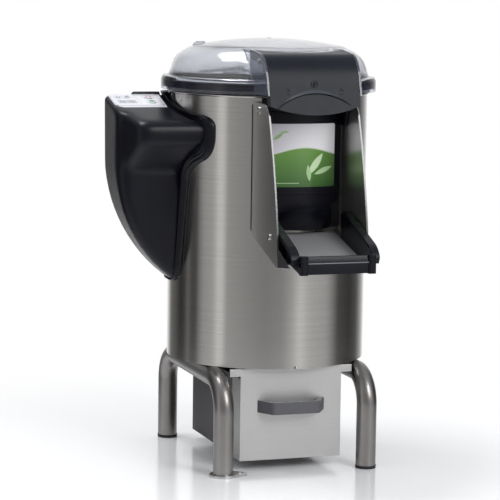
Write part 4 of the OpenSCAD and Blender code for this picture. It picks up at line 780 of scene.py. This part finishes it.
def box_flange():
    """The box's flange on the drum, with a groove along the body and two raised beads."""
    c = ControlBox
    inside, rim = -9, c.flange
    # How far out from the body, and how high off the drum
    foot_of_body = [(inside, 4.6), (0.4, 4.8)]
    groove = [(1.0, 3.4), (1.8, 2.6), (2.6, 3.4)]
    inner_bead = [(3.2, 5.2), (4.2, 6.0), (5.2, 5.2), (5.8, 3.9), (6.6, 3.4), (7.4, 3.9)]
    outer_bead = [(8.2, 5.6), (9.4, 6.6), (10.6, 6.2), (11.6, 5.0), (rim, 3.2), (rim, 0.1)]
    rows = []
    for grow, height in foot_of_body + groove + inner_bead + outer_bead:
        row = []
        for y, z in box_outline(grow):
            # It stands higher at the rear of the top
            stand = 1 + 1.3 * progress(z, c.top - 15, c.top + 1) * progress(y, -5, 25)
            reach = c.seat + height * stand
            row.append(at(-math.sqrt(reach * reach - y * y), y, z))
        rows.append(row)
    skin("box_flange", rows, black_plastic, closed=True, angle=40)


def box_rail():
    """The low rail across the back of the box's top."""
    c = ControlBox
    outline = [(-c.out + 52, c.top - 8), (-c.out + 62, c.top + 4.6), (-DRUM - 11, c.top + 4.6),
               (-DRUM - 9, c.top - 8)]
    rows = [[at(x, y, z) for x, z in outline] for y in (c.rear - 7, c.rear - 1.5)]
    skin("box_rail", rows, worn_plastic, closed=True, capped=True, bevel_mm=1.2)


def panel_surround():
    """The pale film that frames the control panel on the box's sloping top."""
    c = ControlBox
    left, right, front, back, turn = -c.out + 7, -DRUM - 14, -21, c.rear - 8, 20
    corner = outline_arc((left + turn, front + turn), turn, -90, -180, 10)
    outline = [(right, back), (right - 4, front), *corner, (left + 1, back - 5), (left + 5, back)]
    rows = [[at(x, y, c.top_at(y) + lift) for x, y in outline] for lift in (0.7, -1.2)]
    surround = skin("panel_surround", rows, film_edge, closed=True, capped=True)
    combined(surround, panel_block(-0.3, 20, 20), "DIFFERENCE")
    shade(surround.data)


# ---------------- the lid


def ribbed_seal():
    """The lid's seal, whose outer face has fine upright ribs that show through the clear rim."""
    low, high = box_mm("lid_seal")
    out, bottom, top = high.x, low.z, high.z
    lip, wall, rib, ribs = 195, 206, 1.6, 260
    # Radius, height, and how much deeper the hollows between the ribs lie
    profile = [(lip, bottom + 0.2, 0), (wall, bottom + 0.2, 0), (wall, bottom + 5, 0),
               (out - rib - 1, bottom + 6, 0), (out - 0.6, bottom + 8, rib), (out - 0.2, bottom + 9, rib),
               (out - 0.2, top - 8, rib), (out - 0.6, top - 7, rib), (out - rib - 1, top - 5, 0),
               (out - 4, top - 1, 0), (wall, top, 0), (wall - 1, bottom + 9, 0), (lip, bottom + 7, 0)]
    rings = [[on_drum(180 * step / ribs, radius - depth * (step % 2), z) for radius, z, depth in profile]
             for step in range(2 * ribs)]
    seal = skin("lid_seal_ribbed", rings, rib_highlight_rubber, "lid", closed=True, looped=True, angle=30)
    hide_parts("lid_seal")


def fuller_dome():
    """The lid's clear shell with a rounder shoulder, darker walls beside the hood and a clear rim."""
    low, high = box_mm("lid_dome")
    rim_top, rim_inner, arch_back, arch_inner, arch_outer = low.z + 27, 204, -165, 88, 97
    foot, shoulder, bulge = low.z + 32, high.z - 16.5, 9.0
    mesh = welded("lid_dome", whole=False)
    for v in mesh.vertices:
        place = (v.co - AXIS) / MM
        share = (place.z - foot) / (shoulder - foot)
        if 0 < share < 1:
            grown = bulge * math.sin(math.pi * share ** 1.6) * progress(place.y, -150, -80)
            v.co += (v.co - AXIS).xy.normalized().to_3d() * grown * MM
    dome = new_object("lid_dome_full", mesh, clear, "lid")
    mesh.materials.append(arch_clear)
    mesh.materials.append(rim_clear)
    for face in mesh.polygons:
        place = (face.center - AXIS) / MM
        if place.y < arch_back and arch_inner < abs(place.x) < arch_outer:
            face.material_index = 1
        elif place.xy.length > rim_inner and place.z < rim_top:
            face.material_index = 2
    shade(mesh, 30)
    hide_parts("lid_dome")


def on_hood(x, z, proud):
    """The point at x and a height z that stands proud of the hood's lower, leaning part."""
    # It leans back by 13 mm on the 56.5 mm above its lip
    lip_y, lip_z, lean = -283, 713.5, 13 / 56.5
    return at(x, lip_y + (z - lip_z) * lean - proud, z)


def grip_lip():
    """The sloping upper edge of the hood's grip, a crescent in a paler slate that paints its highlight
    where it catches the light.
    """
    radius, width, lift, half_angle, steps = 121.5, 7.0, 4.4, 36, 64
    top_z = 753
    rows = []
    for step in range(steps + 1):
        side = 2 * step / steps - 1
        a = math.radians(half_angle * side)
        taper = max(0.15, math.cos(math.radians(90 * side)))
        row = []
        for share in (0.0, 0.35, 0.7, 1.0):
            r = radius - 0.8 + share * width * taper
            height = lift * (1 - share) ** 1.4 + 0.1
            point = on_hood(r * math.sin(a), top_z - radius + r * math.cos(a), height)
            row.append(point + Vector((0, 0, 0.23 * height)) * MM)
        rows.append(row)
    skin("grip_lip", rows, highlight_slate, "lid", angle=60)


def hood_ring():
    """A small moulded ring and its middle on the hood's front."""
    z, turns = 770, [2 * math.pi * step / 28 for step in range(28)]
    for name, half, rise, wire in (("hood_ring", 6.4, 6.4, 0.8), ("hood_ring_middle", 1.6, 2.56, 1.3)):
        points = [on_hood(half * math.cos(a), z + rise * math.sin(a), 0.1) for a in turns]
        tube(name, points, wire, black_plastic, "lid", closed=True)


def hood_marks():
    """Two small raised marks that show where the hood is lifted: an arrow over a bar."""
    z, half, rise, gap = 756, 4, 6, 5
    for suffix, x in (("left", -54), ("right", 54)):
        arrow = [on_hood(x + dx, z + dz, 0.2) for dx, dz in ((-half, 0), (0, rise), (half, 0))]
        bar = [on_hood(x + dx, z - gap, 0.2) for dx in (-half, half)]
        tube("hood_arrow_" + suffix, arrow, 0.55, slate_plastic, "lid")
        tube("hood_bar_" + suffix, bar, 0.55, slate_plastic, "lid")


def lid_boss():
    """The low boss on the lid's left shoulder, whose job the photograph doesn't tell."""
    length, depth, height, narrowing = 34, 24, 11, 0.72
    angle, out, z = 161, 138, 834
    bm = bmesh.new()
    bmesh.ops.create_cube(bm, size=1.0)
    for v in bm.verts:
        narrow = narrowing if v.co.z > 0 else 1.0
        v.co *= Vector((length * narrow, depth * narrow, height)) * MM
    bmesh.ops.bevel(bm, geom=bm.edges, offset=3 * MM, segments=4, affect="EDGES")
    turn = Matrix.Rotation(math.radians(angle), 4, "Z")
    bmesh.ops.transform(bm, matrix=Matrix.Translation(on_drum(angle, out, z)) @ turn, verts=bm.verts)
    new_object("lid_boss", mesh_from(bm, "lid_boss", 50), clear, "lid")


# ---------------- the mouth, the chute and small trim


def chute_gusset():
    """A steel gusset from the left cheek's front edge to below the chute's arm, with a bent foot."""
    cheek, floor_low = box_mm("left_cheek")[0], box_mm("chute_floor")[0]
    back, front = cheek.y + 1, floor_low.y + 2
    corners = ((back, cheek.z + 35), (back, cheek.z), (front, cheek.z + 7.5))
    rows = [[at(x, y, z) for y, z in corners] for x in (-90.9, -92.3)]
    skin("chute_gusset", rows, shaded_sheet, closed=True, capped=True, angle=None)
    foot = [at(-91.6, back - 1, cheek.z + 0.3), at(-91.6, front, cheek.z + 7.8)]
    tube("chute_gusset_foot", foot, 0.9, bright_sheet)


def mouth_head():
    """The rubber strip on the drum between the cheeks, above the door."""
    middle, half_angle, steps = -90, 22.4, 40
    foot = box_mm("mouth_gasket")[1].z
    # How far it stands proud of the drum, and the height above its foot
    profile = ((0.5, 28), (3.0, 27), (3.4, 25), (3.4, 3), (3.0, 1), (0.5, 0))
    rows = [[on_drum(middle + half_angle * (2 * step / steps - 1), DRUM + proud, foot + rise)
             for step in range(steps + 1)] for proud, rise in profile]
    skin("mouth_head", rows, seal_rubber)


def chute_ridge():
    """The fine ridge along the front of the chute's bar, in a paler plastic that paints its highlight where
    light catches it.
    """
    low, _ = box_mm("chute_frame")
    ridge = [at(x, low.y + 3.6, low.z + 21.6) for x in (-68, 68)]
    tube("chute_ridge", ridge, 1.0, ridge_highlight_plastic)


def seams():
    """The welds of the cross bars, dark lines at the cheeks that paint the shadow in their gap to the drum,
    and the drum's seam at the back.
    """
    bars_low, bars_high = box_mm("cross_bars")
    door_low, door_high = box_mm("door_panel")
    half_bar, half_bead = 15, 14
    seam_shadow_x, seam_shadow_y = 93.2, -177.9
    for side, across in ((-1, "left"), (1, "right")):
        for y, along in ((bars_low.y + half_bar, "front"), (bars_high.y - half_bar, "rear")):
            bead = [at(side * (bars_high.x - 2 - 0.5 * (step % 2)), y + step, bars_high.z + 0.6)
                    for step in range(-half_bead, half_bead + 1)]
            tube(f"weld_{across}_{along}", bead, 1.7, machined)
        # Dark lines where the cheeks meet the drum: painted shadow in the gap between them
        seam_shadow = [at(side * seam_shadow_x, seam_shadow_y, z) for z in (door_low.z - 2, door_high.z)]
        tube(f"cheek_seam_{across}", seam_shadow, 0.75, seal_rubber)
    tube("drum_seam", [on_drum(62, DRUM + 0.6, z) for z in (216, 732)], 1.1, drum_steel)


def screw_head(name, place, facing, radius_mm, material):
    """A low round screw head with a recess. facing is the way that its top looks."""
    size = radius_mm * MM
    bm = bmesh.new()
    bmesh.ops.create_cone(bm, cap_ends=True, segments=28, radius1=size, radius2=0.86 * size,
                          depth=0.9 * size)
    top = max(bm.faces, key=lambda f: f.calc_center_median().z)
    bmesh.ops.inset_region(bm, faces=[top], thickness=0.42 * size)
    for v in top.verts:
        v.co.z -= 0.4 * size
    turn = Vector(facing).to_track_quat("Z", "Y").to_matrix().to_4x4()
    bmesh.ops.transform(bm, matrix=Matrix.Translation(place) @ turn, verts=bm.verts)
    new_object(name, mesh_from(bm, name, 35), material, "machine")


# ---------------- finishes of the CAD nodes

drum_steel = brushed("drum_steel", (0.56, 0.545, 0.52), "DRUM", roughness=0.18, anisotropic=0.75, grain=0.5)
sheet_x = brushed("sheet_grain_across", (0.60, 0.595, 0.585), "X", roughness=0.34, grain=0.4, streaks=0.4)
drawer_sheet = brushed("drawer_sheet", (0.47, 0.465, 0.46), "X", roughness=0.36, grain=0.4, streaks=0.3)
sheet_z = brushed("sheet_grain_upright", (0.46, 0.455, 0.45), "Z", roughness=0.30, grain=0.6)
cheek_sheet = brushed("cheek_sheet", (0.62, 0.615, 0.60), "Z", roughness=0.32, grain=0.6,
                      cut_edge=(0.16, 0.16, 0.16))
# A darker copy of the brushed steel: painted shade for the filter housing, whose side lies in shade. The
# chute's gusset takes it too.
shaded_sheet = brushed("shaded_sheet", (0.13, 0.13, 0.14), "Z", roughness=0.42, grain=0.5)
bright_sheet = brushed("bright_sheet", (0.42, 0.42, 0.43), "Y", roughness=0.55, grain=0.4, streaks=0.6,
                       metallic=0.35)
tube_steel = satin_tube("tube_steel", (0.30, 0.29, 0.28))
screw_steel = turned("screw_steel", (0.66, 0.65, 0.63), 0.2)
machined = turned("machined_steel", (0.42, 0.42, 0.43), 0.32)
black_plastic = moulded("black_plastic", (0.004, 0.0044, 0.0082), roughness=0.30, specular=0.23)
worn_plastic = moulded("worn_plastic", (0.045, 0.046, 0.05), specular=0.4)
# A paler plastic for the chute's ridge: a painted highlight
ridge_highlight_plastic = moulded("ridge_highlight_plastic", (0.13, 0.135, 0.15), roughness=0.35)
slate_plastic = moulded("slate_plastic", (0.009, 0.011, 0.016), roughness=0.36, specular=0.16)
# A paler slate for the grip's crescent: a painted highlight
highlight_slate = moulded("highlight_slate", (0.045, 0.05, 0.06), roughness=0.40, specular=0.4)
grey_plastic = moulded("grey_plastic", (0.08, 0.08, 0.09), roughness=0.45)
# The lid's clear shell is painted darker low down: painted shade on the dome's lower part
clear = clear_plastic("clear_plastic", (0.83, 0.845, 0.88), dark=(0.56, 0.57, 0.61),
                      stops=((0.25, 1.0), (0.43, 0.0)))
arch_clear = clear_plastic("arch_clear", (0.25, 0.27, 0.34), roughness=0.06, clarity=0.80)
# The rim's dark band is painted shade, standing in for the dark seal seen through the clear rim
rim_clear = clear_plastic("rim_clear", (0.74, 0.77, 0.86), roughness=0.03, clarity=0.99, specular=0.22,
                          dark=(0.12, 0.13, 0.21),
                          stops=((0.05, 0.0), (0.07, 1.0), (0.17, 1.0), (0.20, 0.0)))
rib_highlight_rubber = seal_ribs("rib_highlight_rubber")
seal_rubber = rubber("seal_rubber", (0.006, 0.006, 0.009), dusty=(0.02, 0.02, 0.026))
film_edge = moulded("film_edge", (0.62, 0.63, 0.67), roughness=0.25, grain=0.05)

paint(tube_steel, "left_stand_tube", "right_stand_tube", "drain_outlet")
paint(brushed("sheet_grain_along", (0.50, 0.495, 0.485), "Y", roughness=0.33), "cross_bars",
      "tray_rails")
paint(rubber("black_rubber"), "rubber_feet", "mouth_gasket", "box_gasket", "shaft_seal", "drive_belt")
paint(drum_steel, "drum_shell")
paint(sheet_x, "drum_base", "chamber_deck", "mouth_tray", "filter_tray")
paint(bright_sheet, "chute_floor")
paint(shaded_sheet, "filter_housing")
paint(sheet_z, "waste_duct")
paint(machined, "base_bolts", "hanger_bolts", "bearing_housing", "driven_pulley", "motor_pulley",
      "motor_bracket")
paint(screw_steel, "chute_screws", "hood_screws", "door_pivots", "hinge_pin", "spindle", "bearings",
      "motor_shaft")
paint(grit("grit"), "abrasive_liner", "abrasive_plate")
paint(grey_plastic, "contactor", "cable_gland")
paint(turned("brass", (0.70, 0.55, 0.26)), "water_inlet")
paint(enamel("motor_paint", (0.07, 0.10, 0.15)), "motor")
paint(circuit("circuit_board"), "circuit_board")
paint(panel_film("panel_film"), "control_panel")
paint(display_glass("display_glass"), "timer_display")
paint(label_print("label_print"), "door_label")
for key, name, mark, ring in KEYS:
    paint(key_plastic(name, key, mark, ring), key)

softened("lid_hood", 1.2, slate_plastic)
softened("door_panel", 0.7, black_plastic, angle=40)
softened("chute_frame", 1.4, black_plastic)
softened("left_cheek", 0.5, cheek_sheet)
softened("right_cheek", 0.5, cheek_sheet)
softened("drawer_front", 0.8, drawer_sheet)
softened("drawer_handle", 2.2, grey_plastic, segments=3)
softened("fixing_foot", 0.8, sheet_x)
softened("hinge_bracket", 0.8, sheet_z)
softened("hinge_leaf", 0.6, sheet_z)

box_body()
box_flange()
box_rail()
panel_surround()
fuller_dome()
lid_boss()
ribbed_seal()
grip_lip()
hood_ring()
hood_marks()
chute_gusset()
mouth_head()
chute_ridge()
seams()
screw_head("hem_screw", at(-3, -203.2, 208.5), (0, -1, 0), 3.0, screw_steel)


# ---------------- studio and camera

# The camera's angles in degrees, its distance and the height that it looks at in metres
CAMERA_AZIMUTH = -19.0
CAMERA_ELEVATION = 7.27
CAMERA_ROLL = 0.86
CAMERA_DISTANCE = 4.56275
CAMERA_AIM_Z = 0.4243

# The photograph's frame, the lens' focal length in its pixels, and the pixel that the lens looks at
FRAME_PIXELS = 500
FOCAL_PIXELS = 2239.49
MIDDLE_PIXEL = (265.93, 246.6)

# How bright the studio is at an angle in degrees to the right of the camera, which stands at 0
STUDIO_BANDS = ((-180, 1.0), (-163, 1.0), (-153, 0.62), (-145, 0.20), (-130, 0.13), (-118, 0.04),
                (-109, 0.06), (-102, 0.20), (-96, 0.08), (-88, 0.08), (-82, 0.32), (-76, 0.45), (-66, 0.50),
                (-61, 0.62), (-57, 0.88), (-51, 0.84), (-46, 0.45), (-20, 0.35), (0, 0.29), (20, 0.34),
                (32, 0.52), (41, 0.80), (52, 0.60), (76, 0.50), (85, 0.30), (94, 0.09), (116, 0.05),
                (134, 0.12), (150, 0.50), (166, 1.0))
OVERHEAD = (0.55, 0.56, 0.58)
DIFFUSE_LIGHT = (0.62, 0.63, 0.65)
WHITE = (1, 1, 1)


def studio_world():
    """White behind the object, and a studio of soft boxes and dark flags for what mirrors it."""
    world = bpy.data.worlds.new("studio")
    bpy.context.scene.world = world
    world.use_nodes = True
    world.node_tree.nodes.clear()
    w = NodeTree(world.node_tree)
    x, y, z = w.split(w.add("TexCoord").outputs["Generated"])
    # The angle to the right of the camera's direction as a share of a turn: 0.5 is towards the camera
    turn = w.minus(w.math("ARCTAN2", x, w.times(y, -1.0)), math.radians(CAMERA_AZIMUTH))
    turn = w.math("FRACT", w.plus(w.math("DIVIDE", turn, 2 * math.pi), 1.5))
    bands = w.ramp(turn, *((degrees / 360 + 0.5, (level, level, level * 1.01))
                           for degrees, level in STUDIO_BANDS))
    # Overhead there is one large soft box
    above = w.mix(w.rise(z, 0.35, 0.80), bands, OVERHEAD)
    rays = w.add("LightPath").outputs
    plain = w.math("MAXIMUM", rays["Is Camera Ray"], rays["Is Transmission Ray"])
    seen = w.mix(plain, above, WHITE)
    lit = w.mix(rays["Is Diffuse Ray"], seen, DIFFUSE_LIGHT)
    background = w.add("Background", {0: lit, 1: 1.0}).outputs[0]
    w.add("OutputWorld", {0: background})


def soft_box(name, place, aim, size, watts):
    """A rectangular lamp at a place in metres that faces the point aim."""
    light = bpy.data.lights.new(name, "AREA")
    light.shape = "RECTANGLE"
    light.size, light.size_y = size
    light.energy = watts
    holder = placed(name, light)
    holder.location = place
    holder.rotation_euler = (Vector(aim) - Vector(place)).to_track_quat("-Z", "Y").to_euler()


def floor():
    """A white floor with a faint gloss that fades into the white behind it."""
    bm = bmesh.new()
    bmesh.ops.create_circle(bm, cap_ends=True, radius=14, segments=96)
    s = Shader("floor")
    fade = s.rise(s.from_axis(Vector()), 0.45, 1.15, interpolation_type="SMOOTHSTEP")
    mottle = s.noise(30.0, 3, 0.6)
    material = s.finished(base_color=s.mix(mottle, (0.94, 0.945, 0.955), (0.955, 0.96, 0.965)),
                          roughness=0.16, specular_ior_level=0.35)
    rays = s.add("LightPath").outputs
    white = s.add("Emission", {"Color": WHITE, "Strength": 1.0}).outputs[0]
    clear_floor = s.add("BsdfTransparent").outputs[0]
    for_camera, for_mirror = (s.times(fade, rays[ray]) for ray in ("Is Camera Ray", "Is Glossy Ray"))
    seen = s.add("MixShader", {0: for_camera, 1: s.surface.outputs[0], 2: white}).outputs[0]
    blend = s.add("MixShader", {0: for_mirror, 1: seen, 2: clear_floor}).outputs[0]
    s.set(s.tree.nodes["Material Output"].inputs[0], blend)
    piece = placed("floor", mesh_from(bm, "floor"))
    piece.data.materials.append(material)


def camera():
    """The photograph's camera, from its angles, its distance and its focal length."""
    a, e, roll = (math.radians(v) for v in (CAMERA_AZIMUTH, CAMERA_ELEVATION, CAMERA_ROLL))
    back = Vector((math.sin(a) * math.cos(e), -math.cos(a) * math.cos(e), math.sin(e)))
    level = Vector((math.cos(a), math.sin(a), 0))
    upright = back.cross(level)
    right = level * math.cos(roll) + upright * math.sin(roll)
    up = upright * math.cos(roll) - level * math.sin(roll)
    lens = bpy.data.cameras.new("camera")
    lens.sensor_width = 36
    lens.lens = FOCAL_PIXELS / FRAME_PIXELS * lens.sensor_width
    lens.shift_x = 0.5 - MIDDLE_PIXEL[0] / FRAME_PIXELS
    lens.shift_y = MIDDLE_PIXEL[1] / FRAME_PIXELS - 0.5
    lens.clip_end = 100
    holder = placed("camera", lens)
    place = AXIS + Vector((0, 0, CAMERA_AIM_Z)) + back * CAMERA_DISTANCE
    holder.matrix_world = Matrix.Translation(place) @ Matrix((right, up, back)).transposed().to_4x4()
    bpy.context.scene.camera = holder


studio_world()
soft_box("key_light", (1.25, -3.0, 2.3), (0.05, 0.0, 0.45), (1.4, 2.0), 60)
soft_box("top_light", (-0.85, 0.6, 3.6), (0.0, 0.0, 0.8), (1.5, 0.9), 50)
floor()
camera()
bpy.context.scene.view_settings.view_transform = "Standard"
